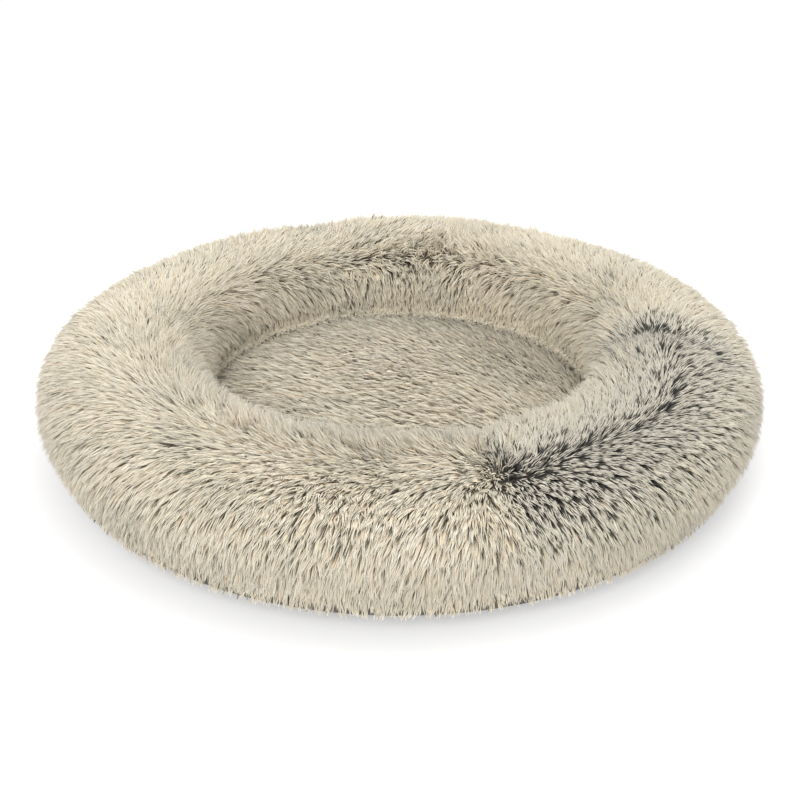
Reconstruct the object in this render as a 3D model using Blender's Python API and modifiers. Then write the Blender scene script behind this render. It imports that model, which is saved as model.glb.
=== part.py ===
"""A donut pet bed: a plush ring bolster round a sleeping pad, with a zip in its base seam.

Metres, +Z up. The origin is the middle of the underside, on the floor, and the front faces -Y.
A place in the bed's section is (r, z): the distance from the upright axis, and the height.
A place on the zip is (u, s, n): along the zip, across it away from the axis, and out of the bed.
"""

import math

import bmesh
import bpy
from mathutils import Matrix, Vector

# Driving dimensions of the bed
OUTER_DIAMETER = 0.760
RIM_HEIGHT = 0.142
RIM_WIDTH = 0.174
PAD_DOME = 0.033

# The section's power: 2 is an ellipse, and more is squarer
SECTION_POWER = 2.4

# Cloth, pile and clearances
RIM_PILE = 0.015
SLEEP_PILE = 0.012
BASE_CLOTH = 0.0015
DIVIDER_CLOTH = 0.001
LINER_CLOTH = 0.001
BINDING_THICKNESS = 0.0006
CLEARANCE = 0.0003
SEAM_GAP = 0.0004
OVERRUN = 0.004

# The inner seam, where rim covers, sleep panel and divider meet
INNER_SEAM_TURN = math.radians(207)
SLEEP_INSET = 0.0026
SLEEP_LIFT = 0.0048
INNER_BINDING_WIDTH = 0.0090
INNER_BINDING_HEIGHT = 0.0030
INNER_BINDING_CORNER = 0.0008

# The covers' form: drawn in at the seams, gathered at the inner seam, worn low where a head rests
RADIAL_SEAM = math.radians(-72)
SEAM_DRAW = 0.006
SEAM_DRAW_WIDTH = math.radians(7)
GATHERS = 20
GATHER_DEPTH = 0.004
GATHER_START = math.radians(130)
GATHER_END = math.radians(150)
SWELLS = 4
SWELL_DEPTH = 0.003
REST_DIP = 0.007
REST_DIP_AT = math.radians(-45)
REST_DIP_WIDTH = math.radians(15)
LEAST_PILE = 0.006

# The bags' filling slits
SLIT_LENGTH = 0.160
SLIT_WIDTH = 0.002

# The pad's rounded lower edge
PAD_CORNER = 0.006

# The zip's track: a circle in the base seam, this share of the ring's width outside its middle
ZIP_OUT_SHARE = 0.2644
ZIP_LENGTH = 0.340
ZIP_START = math.radians(44)
ZIP_WINDOW = 0.009
ZIP_LAP = 0.007
ZIP_TAPE_THICKNESS = 0.0006
ZIP_TAPE_COVER = 0.0006
ZIP_TAPE_RUNOUT = 0.006
ZIP_DEPTH = 0.0019

# The teeth: a bead along the tape's edge and a tooth at each pitch
TOOTH_PITCH = 0.005
TOOTH_THICKNESS = 0.002
TOOTH_REACH = 0.0009
TOOTH_ROOT = 0.002
TOOTH_HEAD = 0.0023
BEAD_INNER = 0.00125
BEAD_OUTER = 0.0026
STOP_LENGTH = 0.0022
STOP_THICKNESS = 0.0024
STOP_BEVEL = 0.0002

# The slider: two plates with side flanges, a wedge at the mouth and a crown for the pull
SLIDER_LENGTH = 0.012
SLIDER_PLATE = 0.0009
SLIDER_FLANGE = 0.0007
SLIDER_ROOM = 0.0005
SLIDER_BEVEL = 0.0003
SPREAD = 0.0022
SPREAD_START = 0.0010
SPREAD_END = -0.0040
WEDGE_TIP = -0.0024
WEDGE_HEEL = -0.0056
WEDGE_HALF = 0.001
WEDGE_TIP_HALF = 0.00025
CROWN_LENGTH = 0.0088
CROWN_WIDTH = 0.002
CROWN_THICKNESS = 0.0008
CROWN_ROOM = 0.0023
CROWN_SHOULDER = 0.0009

# The pull: a flat tab that swings on a bar under the crown
PULL_LENGTH = 0.022
PULL_THICKNESS = 0.0012
PULL_BAR = 0.001
PULL_ARM = 0.0014
PULL_WINDOW_WIDTH = 0.003
PULL_WINDOW_REACH = 0.0052
PULL_WAIST = 0.0046
PULL_HEAD = 0.0066
PULL_HOLE_LENGTH = 0.0022
PULL_HOLE_WIDTH = 0.0030
PULL_HOLE_MARGIN = 0.0022
PIVOT_HEIGHT = 0.0011

# Divisions of the round pieces and of the section
TURN_STEPS = 40
SECTION_STEPS = 16
OUTER_POINTS = 20
ZIP_STEPS = 30
RAMP_STEPS = 4
TIP_STEPS = 6
MERGE_DISTANCE = 0.00001

# Values worked out from those above
RING_RADIUS = (OUTER_DIAMETER - RIM_WIDTH) / 2
ZIP_RADIUS = RING_RADIUS + RIM_WIDTH * ZIP_OUT_SHARE
HALF_WIDTH = RIM_WIDTH / 2
HALF_HEIGHT = RIM_HEIGHT / 2
INSIDE_HALF_WIDTH = HALF_WIDTH - RIM_PILE
INSIDE_MIDDLE = (RIM_HEIGHT - RIM_PILE + BASE_CLOTH) / 2
INSIDE_HALF_HEIGHT = (RIM_HEIGHT - RIM_PILE - BASE_CLOTH) / 2
STEP = math.tau / TURN_STEPS
TAPE_MIDDLE = BASE_CLOTH + ZIP_TAPE_COVER + ZIP_TAPE_THICKNESS / 2
TAPE_EDGE = BEAD_OUTER + CLEARANCE
TAPE_WIDTH = ZIP_WINDOW + ZIP_LAP
SLIDER_AT = STOP_LENGTH + CLEARANCE + SLIDER_LENGTH / 2 + CLEARANCE + STOP_LENGTH / 2


def colour_of(name, colour, roughness, metallic=0.0):
    """A plain material with the piece's colour, roughness and metallic value."""
    material = bpy.data.materials.new(name)
    material.use_nodes = True
    shader = material.node_tree.nodes["Principled BSDF"]
    shader.inputs["Base Color"].default_value = (*colour, 1)
    shader.inputs["Roughness"].default_value = roughness
    shader.inputs["Metallic"].default_value = metallic
    return material


def collection(name):
    made = bpy.data.collections.new(name)
    bpy.context.scene.collection.children.link(made)
    return made


def add(name, data, group, material=None):
    """An object that holds this mesh or curve, in this collection."""
    piece = bpy.data.objects.new(name, data)
    group.objects.link(piece)
    if material:
        data.materials.append(material)
    return piece


def mesh_from(bm, name, smooth=True):
    """Turns a bmesh into a mesh whose faces point out."""
    bmesh.ops.recalc_face_normals(bm, faces=bm.faces)
    mesh = bpy.data.meshes.new(name)
    bm.to_mesh(mesh)
    bm.free()
    if smooth:
        mesh.shade_smooth()
        mesh.set_sharp_from_angle(angle=math.radians(40))
    return mesh


def signed_power(value, power):
    return math.copysign(abs(value) ** power, value)


def section_point(turn, half_width, half_height, middle):
    """The point of a rounded section at this turn: 0 is its outer side and a quarter its top."""
    power = 2 / SECTION_POWER
    r = RING_RADIUS + half_width * signed_power(math.cos(turn), power)
    z = middle + half_height * signed_power(math.sin(turn), power)
    return Vector((r, z))


def outside_point(turn):
    return section_point(turn, HALF_WIDTH, HALF_HEIGHT, HALF_HEIGHT)


def inside_point(turn, inset=0.0):
    return section_point(turn, INSIDE_HALF_WIDTH - inset, INSIDE_HALF_HEIGHT - inset, INSIDE_MIDDLE)


def under_skin(r, depth):
    """The point this deep inside the bed's underside, which is flat up to the ring's middle."""
    across = max(0.0, (r - RING_RADIUS) / HALF_WIDTH)
    left = 1 - across ** SECTION_POWER
    height = HALF_HEIGHT * (1 - left ** (1 / SECTION_POWER))
    rise = HALF_HEIGHT / HALF_WIDTH * across ** (SECTION_POWER - 1)
    slope = rise * left ** (1 / SECTION_POWER - 1)
    tilt = math.atan(slope)
    return Vector((r - depth * math.sin(tilt), height + depth * math.cos(tilt))), tilt


ZIP_HEIGHT = under_skin(ZIP_RADIUS, 0)[0].y
ZIP_TILT = under_skin(ZIP_RADIUS, 0)[1]
BASE_EDGE = ZIP_RADIUS + ZIP_WINDOW * math.cos(ZIP_TILT)
BASE_CUT = ZIP_RADIUS - ZIP_WINDOW * math.cos(ZIP_TILT)
BASE_LAP = (BASE_EDGE - ZIP_LAP, BASE_EDGE)
TAPE_FAR = ZIP_RADIUS - (ZIP_WINDOW + ZIP_LAP) * math.cos(ZIP_TILT)
HEM_RADIUS = BASE_EDGE + CLEARANCE
HEM_LAP = (BASE_EDGE + ZIP_LAP / 2, BASE_EDGE + ZIP_LAP, BASE_EDGE + ZIP_LAP * 1.5)
HEM_TURN = -math.acos(((HEM_RADIUS - RING_RADIUS) / HALF_WIDTH) ** (SECTION_POWER / 2))


def smooth_step(value, start, stop):
    share = min(1.0, max(0.0, (value - start) / (stop - start)))
    return share * share * (3 - 2 * share)


def round_the_axis(point, angle):
    """A section point turned to its place round the upright axis."""
    return Vector((point[0] * math.cos(angle), point[0] * math.sin(angle), point[1]))


def on_facet(point, angle):
    """Moves a section point in to the straight facet that turned cloth has at this angle."""
    off_middle = math.remainder(angle - STEP / 2, STEP)
    return Vector((point.x * math.cos(STEP / 2) / math.cos(off_middle), point.y))


def turned(name, profile, group, material, closed=True):
    """A full turn of a profile that runs down its outer side, through a Screw modifier."""
    mesh = bpy.data.meshes.new(name)
    count = len(profile)
    edges = [(i, i + 1) for i in range(count - 1)]
    if closed:
        edges.append((count - 1, 0))
    mesh.from_pydata([(r, 0, z) for r, z in profile], edges, [])
    piece = add(name, mesh, group, material)
    screw = piece.modifiers.new("turn", "SCREW")
    screw.axis = "Z"
    screw.steps = TURN_STEPS
    screw.render_steps = TURN_STEPS
    screw.use_merge_vertices = True
    screw.merge_threshold = MERGE_DISTANCE
    screw.use_smooth_shade = True
    return piece


def swept(profile, start, stop, steps):
    """A closed profile swept part of the way round the axis, with its ends capped."""
    bm = bmesh.new()
    corners = [bm.verts.new(round_the_axis(point, start)) for point in profile]
    face = bm.faces.new(corners)
    bmesh.ops.spin(
        bm, geom=[face], cent=(0, 0, 0), axis=(0, 0, 1), angle=stop - start, steps=steps
    )
    return bm


def cut(piece, cutter, operation="DIFFERENCE"):
    """A Boolean by a hidden cutter."""
    cutter.hide_render = True
    cutter.display_type = "WIRE"
    boolean = piece.modifiers.new(cutter.name, "BOOLEAN")
    boolean.object = cutter
    boolean.operation = operation
    boolean.solver = "EXACT"


def block(name, size, place, group):
    """A box of this size, its middle at this place."""
    bm = bmesh.new()
    bmesh.ops.create_cube(bm, size=1)
    bmesh.ops.scale(bm, vec=size, verts=bm.verts)
    bmesh.ops.translate(bm, vec=place, verts=bm.verts)
    return add(name, mesh_from(bm, name, smooth=False), group)


def draw_in(turn, angle):
    """How far the pile stands inside the full section here, at this turn and angle."""
    off_seam = abs(math.remainder(angle - RADIAL_SEAM, math.pi))
    seam = SEAM_DRAW * math.exp(-((off_seam / SEAM_DRAW_WIDTH) ** 2))
    gather = GATHER_DEPTH * (1 - math.cos(GATHERS * angle)) / 2
    gather *= smooth_step(turn, GATHER_START, GATHER_END)
    swell = SWELL_DEPTH * (1 - math.cos(SWELLS * angle)) / 2
    off_dip = math.remainder(angle - REST_DIP_AT, math.tau)
    dip = REST_DIP * math.exp(-((off_dip / REST_DIP_WIDTH) ** 2)) * max(0.0, math.sin(turn))
    free_of_hem = smooth_step(turn, HEM_TURN, 0)
    free_of_seam = 1 - smooth_step(turn, GATHER_END, INNER_SEAM_TURN)
    drawn = ((seam + swell) * free_of_hem + gather + dip) * free_of_seam
    return min(drawn, RIM_PILE - LEAST_PILE)


def cover_section(angle):
    """A rim cover's closed section: up the outside from the hem, and back along the inside."""
    points = []
    for i in range(OUTER_POINTS + 1):
        turn = HEM_TURN + (INNER_SEAM_TURN - HEM_TURN) * i / OUTER_POINTS
        point = outside_point(turn)
        middle = Vector((RING_RADIUS, HALF_HEIGHT))
        points.append(point + (middle - point).normalized() * draw_in(turn, angle))
    points.append(inside_point(INNER_SEAM_TURN))
    section_turn = math.tau / SECTION_STEPS
    last = math.floor(INNER_SEAM_TURN / section_turn)
    first = math.ceil(HEM_TURN / section_turn) + 1
    for i in range(last, first - 1, -1):
        points.append(inside_point(i * section_turn))
    for r in (*reversed(HEM_LAP), HEM_RADIUS):
        points.append(under_skin(r, BASE_CLOTH)[0])
    return points


def rim_cover(name, start, group, material):
    """Half of the plush ring: a loft from one radial seam to the other."""
    inner_radius = RING_RADIUS - HALF_WIDTH
    gap = SEAM_GAP / 2 / inner_radius
    bm = bmesh.new()
    rings = []
    for i in range(TURN_STEPS // 2 + 1):
        angle = start + i * STEP
        shift = gap if i == 0 else -gap if i == TURN_STEPS // 2 else 0
        rings.append([
            bm.verts.new(round_the_axis(point, angle + shift)) for point in cover_section(angle)
        ])
    for ring, after in zip(rings, rings[1:]):
        for i in range(len(ring)):
            bm.faces.new((ring[i - 1], ring[i], after[i], after[i - 1]))
    ends = [bm.faces.new(rings[0]), bm.faces.new(rings[-1])]
    bm.normal_update()
    bmesh.ops.triangulate(bm, faces=ends)
    return add(name, mesh_from(bm, name), group, material)


def bolster_section(inset):
    """The bag's outline, or the fibre's when it is inset, from its top down the outer side."""
    quarter = SECTION_STEPS // 4
    turns = [math.tau * (quarter - i) / SECTION_STEPS for i in range(SECTION_STEPS)]
    return [inside_point(turn, inset) for turn in turns]


def crown_share(share):
    """How much of its crown a pad has at this share of its radius."""
    return (1 - share**3) ** 0.8


def seam_height(r):
    """The height of the covers' lower end at the inner seam, at this radius."""
    near, far = outside_point(INNER_SEAM_TURN), inside_point(INNER_SEAM_TURN)
    return near.y + (far.y - near.y) * (r - near.x) / (far.x - near.x)


SLEEP_RADIUS = outside_point(INNER_SEAM_TURN).x - SLEEP_INSET
PAD_EDGE = outside_point(INNER_SEAM_TURN).y + SLEEP_LIFT
BINDING_FAR = SLEEP_RADIUS + CLEARANCE + INNER_BINDING_WIDTH
DIVIDER_RADIUS = BINDING_FAR + CLEARANCE + DIVIDER_CLOTH / 2
PAD_RADIUS = DIVIDER_RADIUS - DIVIDER_CLOTH / 2 - CLEARANCE
CROWN_SHARES = (0, 0.35, 0.6, 0.78, 0.91, 1)


def sleep_height(share):
    return PAD_EDGE + PAD_DOME * crown_share(share)


def sleep_panel(group, material):
    """The plush top of the pad: crowned, and drawn in at its edge."""
    top = [(SLEEP_RADIUS * share, sleep_height(share)) for share in CROWN_SHARES]
    below = [(r, z - SLEEP_PILE) for r, z in reversed(top)]
    return turned("sleep_panel", top + below, group, material, closed=False)


def pad_section(inset):
    """The pad's outline from its crown down its side, moved in by the inset."""
    lift = BASE_CLOTH + CLEARANCE + inset
    under = SLEEP_PILE + CLEARANCE + inset
    side = PAD_RADIUS - inset
    top = [(SLEEP_RADIUS * share, sleep_height(share) - under) for share in CROWN_SHARES]
    edge = PAD_EDGE - under
    corner = PAD_CORNER
    rim = [(side - corner, edge), (side, edge - corner), (side, lift + corner), (side - corner, lift)]
    return top + rim + [(0, lift)]


def base_panel(group, cutters, material):
    """The round underside: flat on the floor, turned up under the ring, cut back at the zip."""
    rise = (RING_RADIUS + TAPE_FAR) / 2
    radii = [0, RING_RADIUS / 2, RING_RADIUS, rise, TAPE_FAR, BASE_CUT, *BASE_LAP]
    top = [under_skin(r, BASE_CLOTH)[0] for r in radii]
    below = [under_skin(r, 0)[0] for r in reversed(radii)]
    piece = turned("base_panel", top + below, group, material, closed=False)
    low, high = -OVERRUN, under_skin(BASE_EDGE, 0)[0].y + OVERRUN
    far = BASE_EDGE + OVERRUN
    window = [(BASE_CUT, low), (far, low), (far, high), (BASE_CUT, high)]
    runout = (ZIP_TAPE_RUNOUT + ZIP_TAPE_COVER) / ZIP_RADIUS
    stop = ZIP_START + ZIP_LENGTH / ZIP_RADIUS + runout
    bm = swept(window, ZIP_START - runout, stop, ZIP_STEPS)
    cut(piece, add("zip_window", mesh_from(bm, "zip_window", smooth=False), cutters))
    return piece


def divider_wall(group, material):
    """The upright cloth between the pad's chamber and the bolster's."""
    inner, outer = DIVIDER_RADIUS - DIVIDER_CLOTH / 2, DIVIDER_RADIUS + DIVIDER_CLOTH / 2
    low = BASE_CLOTH + CLEARANCE
    high = seam_height(outer) - CLEARANCE
    profile = [(inner, high), (outer, high), (outer, low), (inner, low)]
    return turned("divider_wall", profile, group, material)


def inner_seam_binding(group, material):
    """The folded tape round the inner seam's edges, between sleep panel and divider."""
    near = SLEEP_RADIUS + CLEARANCE
    far = BINDING_FAR
    high = seam_height(far) - CLEARANCE
    low = high - INNER_BINDING_HEIGHT
    corner = INNER_BINDING_CORNER
    profile = [
        (near + corner, high), (far - corner, high), (far, high - corner),
        (far, low + corner), (far - corner, low), (near + corner, low),
        (near, low + corner), (near, high - corner),
    ]
    return turned("inner_seam_binding", profile, group, material)


def base_seam_binding(group, material):
    """The flat tape inside the base seam, from one end of the zip round to the other."""
    radii = [*BASE_LAP, *HEM_LAP[:2]]
    depth = BASE_CLOTH + CLEARANCE
    outer = [under_skin(r, depth)[0] for r in radii]
    inner = [under_skin(r, depth + BINDING_THICKNESS)[0] for r in reversed(radii)]
    runout = ZIP_TAPE_RUNOUT / ZIP_RADIUS
    first = math.ceil((ZIP_START + ZIP_LENGTH / ZIP_RADIUS + runout) / STEP)
    last = math.floor((ZIP_START - runout) / STEP) + TURN_STEPS
    bm = swept(outer + inner, first * STEP, last * STEP, last - first)
    mesh = mesh_from(bm, "base_seam_binding")
    return add("base_seam_binding", mesh, group, material)


def filling_slit(bag, radius, height, cutters):
    """Opens a bag's wall at the back, where its fibre went in."""
    size = (SLIT_LENGTH, 2 * OVERRUN, SLIT_WIDTH)
    cut(bag, block(bag.name + "_slit", size, (0, radius, height), cutters))


def bag(name, profile, closed, group, material):
    """A closed cloth bag: the outline with a wall inside it."""
    piece = turned(name, profile, group, material, closed)
    wall = piece.modifiers.new("wall", "SOLIDIFY")
    wall.thickness = LINER_CLOTH
    wall.offset = -1
    return piece


def bags_and_fibre(group, cutters, liner_cloth, fibre):
    """The two inner bags and the fibre in them."""
    ring = bag("bolster_liner", bolster_section(CLEARANCE), True, group, liner_cloth)
    filling_slit(ring, RING_RADIUS - INSIDE_HALF_WIDTH, INSIDE_MIDDLE, cutters)
    inset = CLEARANCE + LINER_CLOTH + CLEARANCE
    turned("bolster_fill", bolster_section(inset), group, fibre)
    round_bag = bag("pad_liner", pad_section(0), False, group, liner_cloth)
    filling_slit(round_bag, PAD_RADIUS, (BASE_CLOTH + PAD_EDGE - SLEEP_PILE) / 2, cutters)
    fibre_inset = LINER_CLOTH + 2 * CLEARANCE
    turned("pad_fill", pad_section(fibre_inset), group, fibre, closed=False)


def track_frame(u):
    """The zip's frame at this distance along it: its place, and its three directions."""
    angle = ZIP_START + u / ZIP_RADIUS
    out = Vector((math.cos(angle), math.sin(angle), 0))
    along = Vector((-math.sin(angle), math.cos(angle), 0))
    up = Vector((0, 0, 1))
    across = out * math.cos(ZIP_TILT) + up * math.sin(ZIP_TILT)
    outward = out * math.sin(ZIP_TILT) - up * math.cos(ZIP_TILT)
    place = out * ZIP_RADIUS + up * ZIP_HEIGHT
    return place, along, across, outward


def on_track(u, s, n):
    place, along, across, outward = track_frame(u)
    return place + across * s + outward * n


def spread(x):
    """How far each row is parted at this distance behind the slider's middle."""
    return SPREAD * (1 - smooth_step(x, SPREAD_END, SPREAD_START))


def lay_on_track(bm, side):
    """Bends a flat strip round the zip's track and parts it at the slider's mouth."""
    for vertex in bm.verts:
        u, s, n = vertex.co
        vertex.co = on_track(u, s + side * spread(u - SLIDER_AT), n)


def thicken(bm, thickness):
    """Gives a flat strip its thickness, half to each side."""
    bmesh.ops.translate(bm, vec=(0, 0, -thickness / 2), verts=bm.verts)
    lifted = bmesh.ops.extrude_face_region(bm, geom=list(bm.faces), use_keep_orig=True)
    corners = [item for item in lifted["geom"] if isinstance(item, bmesh.types.BMVert)]
    bmesh.ops.translate(bm, vec=(0, 0, thickness), verts=corners)


def chain_ends():
    """Where the rows of teeth begin and end along the zip."""
    return STOP_LENGTH + CLEARANCE, ZIP_LENGTH - STOP_LENGTH - CLEARANCE


def tooth_row(name, side, group, material):
    """One row: a bead with a tooth at each pitch, in the gaps of the row across from it."""
    begin, end = chain_ends()
    half = TOOTH_PITCH / 4
    lead = TOOTH_PITCH / 2 + side * half
    count = math.floor((end - begin - lead - TOOTH_HEAD / 2) / TOOTH_PITCH) + 1
    middles = [begin + lead + i * TOOTH_PITCH for i in range(count)]
    roots = {middle - TOOTH_ROOT / 2: middle for middle in middles}
    ramp = [SLIDER_AT + x for x in slider_stations()]
    ramp = [u for u in ramp if all(abs(u - middle) > TOOTH_ROOT / 2 for middle in middles)]
    stations = [begin, *roots, *(middle + TOOTH_ROOT / 2 for middle in middles), *ramp, end]
    stations.sort()
    bm = bmesh.new()
    back = [bm.verts.new((u, side * BEAD_OUTER, -ZIP_DEPTH)) for u in stations]
    line = [bm.edges.new(pair) for pair in zip(back, back[1:])]
    made = bmesh.ops.extrude_edge_only(bm, edges=line)["geom"]
    front = [item for item in made if isinstance(item, bmesh.types.BMVert)]
    bmesh.ops.translate(bm, vec=(0, side * (BEAD_INNER - BEAD_OUTER), 0), verts=front)
    front.sort(key=lambda vertex: vertex.co.x)
    for i, station in enumerate(stations):
        if station not in roots:
            continue
        middle = roots[station]
        root = bm.edges.get((front[i], front[i + 1]))
        made = bmesh.ops.extrude_edge_only(bm, edges=[root])["geom"]
        tips = [item for item in made if isinstance(item, bmesh.types.BMVert)]
        for tip in tips:
            tip.co.x = middle + (tip.co.x - middle) * TOOTH_HEAD / TOOTH_ROOT
            tip.co.y = -side * TOOTH_REACH
    thicken(bm, TOOTH_THICKNESS)
    lay_on_track(bm, side)
    return add(name, mesh_from(bm, name), group, material)


def tape_stations():
    """Where a tape has a line across it: close together where the rows part."""
    start, stop = -ZIP_TAPE_RUNOUT, ZIP_LENGTH + ZIP_TAPE_RUNOUT
    ramp = [SLIDER_AT + x for x in slider_stations()]
    plain = [ramp[-1] + (stop - ramp[-1]) * (i + 1) / ZIP_STEPS for i in range(ZIP_STEPS)]
    return [start, *ramp, *plain]


def tape_place(u, row, side):
    """A tape's place on this row across it: two flat rows, then three lapped inside the cloth."""
    past_slider = BEAD_OUTER + SLIDER_ROOM + SPREAD + SLIDER_FLANGE + CLEARANCE
    flat = (TAPE_EDGE + spread(u - SLIDER_AT), past_slider)
    if row < len(flat):
        return on_track(u, side * flat[row], -ZIP_DEPTH)
    near = ZIP_WINDOW - ZIP_TAPE_COVER
    lap = near + (TAPE_WIDTH - near) * (row - len(flat)) / 2
    point = under_skin(ZIP_RADIUS + side * lap * math.cos(ZIP_TILT), TAPE_MIDDLE)[0]
    angle = ZIP_START + u / ZIP_RADIUS
    return round_the_axis(on_facet(point, angle), angle)


def zip_tape(name, side, group, material):
    """One tape: flat beside the teeth, then lapped inside the cloth that it is sewn to."""
    bm = bmesh.new()
    line = [bm.verts.new((u, 0, 0)) for u in tape_stations()]
    edges = [bm.edges.new(pair) for pair in zip(line, line[1:])]
    for _ in range(4):
        made = bmesh.ops.extrude_edge_only(bm, edges=edges)["geom"]
        corners = {item for item in made if isinstance(item, bmesh.types.BMVert)}
        bmesh.ops.translate(bm, vec=(0, 1, 0), verts=list(corners))
        edges = [item for item in made if isinstance(item, bmesh.types.BMEdge)]
        edges = [edge for edge in edges if corners.issuperset(edge.verts)]
    for vertex in bm.verts:
        vertex.co = tape_place(vertex.co.x, round(vertex.co.y), side)
    piece = add(name, mesh_from(bm, name), group, material)
    wall = piece.modifiers.new("cloth", "SOLIDIFY")
    wall.thickness = ZIP_TAPE_THICKNESS
    wall.offset = 0
    return piece


def zip_stop(name, start, near, far, group, material):
    """A small clip across the end of one row, or of both."""
    bm = bmesh.new()
    bmesh.ops.create_cube(bm, size=1)
    bmesh.ops.scale(bm, vec=(STOP_LENGTH, far - near, STOP_THICKNESS), verts=bm.verts)
    middle = (start + STOP_LENGTH / 2, (near + far) / 2, -ZIP_DEPTH)
    bmesh.ops.translate(bm, vec=middle, verts=bm.verts)
    bmesh.ops.bevel(
        bm, geom=bm.edges[:], offset=STOP_BEVEL, segments=1, profile=0.5, affect="EDGES",
        material=-1,
    )
    for vertex in bm.verts:
        vertex.co = on_track(*vertex.co)
    return add(name, mesh_from(bm, name, smooth=False), group, material)


def prism(name, outline, low, high, group, material=None):
    """An outline in (x, y) with this height range."""
    bm = bmesh.new()
    face = bm.faces.new([bm.verts.new((x, y, low)) for x, y in outline])
    made = bmesh.ops.extrude_face_region(bm, geom=[face], use_keep_orig=True)["geom"]
    top = [item for item in made if isinstance(item, bmesh.types.BMVert)]
    bmesh.ops.translate(bm, vec=(0, 0, high - low), verts=top)
    return add(name, mesh_from(bm, name, smooth=False), group, material)


def slider_stations():
    """Where the slider's outline and channel have a corner, from its mouth to its tail."""
    length = SPREAD_START - SPREAD_END
    return [SPREAD_END + length * i / RAMP_STEPS for i in range(RAMP_STEPS + 1)]


def wedge_half(x):
    """Half the wedge's width at x, or less than nothing where there is no wedge."""
    if x < WEDGE_HEEL or x > WEDGE_TIP:
        return -WEDGE_HALF
    return WEDGE_TIP_HALF + (WEDGE_HALF - WEDGE_TIP_HALF) * smooth_step(x, WEDGE_TIP, SPREAD_END)


def channel(name, side, room, height, slider, cutters):
    """Cuts one row's way through the slider, beside the wedge."""
    end = SLIDER_LENGTH / 2 + OVERRUN
    walls = [-end, *slider_stations(), end]
    outline = [(x, side * (room + spread(x))) for x in walls]
    past = -side * WEDGE_HALF
    outline += [(end, past), (WEDGE_TIP, past), (WEDGE_TIP, side * WEDGE_TIP_HALF)]
    outline += [(x, side * wedge_half(x)) for x in (SPREAD_END, WEDGE_HEEL)]
    outline += [(WEDGE_HEEL, past), (-end, past)]
    low, high = -ZIP_DEPTH - height / 2, -ZIP_DEPTH + height / 2
    cutter = prism(name, outline, low, high, cutters)
    cutter.matrix_world = slider.matrix_world
    cut(slider, cutter)


def crown(slider, cutters):
    """Joins the arch that holds the pull to the slider's outer plate."""
    half, wall, top = CROWN_LENGTH / 2, CROWN_THICKNESS, CROWN_ROOM + CROWN_THICKNESS
    shoulder = CROWN_SHOULDER
    foot = -SLIDER_PLATE / 2
    outside = [(-half, foot), (-half, top - shoulder), (shoulder - half, top)]
    inside = [
        (-half + wall, foot), (-half + wall, top - wall - shoulder), (shoulder + wall - half, top - wall)
    ]
    arch = outside + [(-x, z) for x, z in reversed(outside)]
    arch += [(-x, z) for x, z in inside] + list(reversed(inside))
    part = prism("slider_crown", arch, -CROWN_WIDTH / 2, CROWN_WIDTH / 2, cutters)
    part.matrix_world = slider.matrix_world @ Matrix.Rotation(math.pi / 2, 4, "X")
    cut(slider, part, "UNION")


def slider_matrix():
    place, along, across, outward = track_frame(SLIDER_AT)
    matrix = Matrix((along, across, outward)).transposed().to_4x4()
    matrix.translation = place
    return matrix


def plate_high():
    """Where the outer plate's outer face lies, out from the track."""
    return -ZIP_DEPTH + TOOTH_THICKNESS / 2 + CLEARANCE + SLIDER_PLATE


def zip_slider(track, group, cutters, material):
    """The slider: one block, with the rows' ways cut through it and the crown joined on."""
    end = SLIDER_LENGTH / 2
    room = BEAD_OUTER + SLIDER_ROOM
    half = room + SLIDER_FLANGE
    walls = [-end, *slider_stations(), end]
    outline = [(x, half + spread(x)) for x in walls]
    outline += [(x, -half - spread(x)) for x in reversed(walls)]
    reach = TOOTH_THICKNESS / 2 + CLEARANCE + SLIDER_PLATE
    high = plate_high()
    slider = prism("zip_slider", outline, -ZIP_DEPTH - reach, high, group, material)
    slider.parent = track
    slider.matrix_world = slider_matrix()
    bpy.context.view_layer.update()
    edges = slider.modifiers.new("edges", "BEVEL")
    edges.width = SLIDER_BEVEL
    edges.segments = 1
    edges.limit_method = "ANGLE"
    edges.angle_limit = math.radians(50)
    height = TOOTH_THICKNESS + 2 * CLEARANCE
    slot = ZIP_TAPE_THICKNESS + 2 * CLEARANCE
    for side, word in ((1, "outer"), (-1, "inner")):
        channel("channel_" + word, side, room, height, slider, cutters)
        channel("slot_" + word, side, half + OVERRUN, slot, slider, cutters)
    crown(slider, cutters)
    return slider


def loop(curve, points):
    """Adds a closed outline to a flat curve."""
    spline = curve.splines.new("POLY")
    spline.points.add(len(points) - 1)
    for point, (x, y) in zip(spline.points, points):
        point.co = (x, y, 0, 1)
    spline.use_cyclic_u = True


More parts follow.
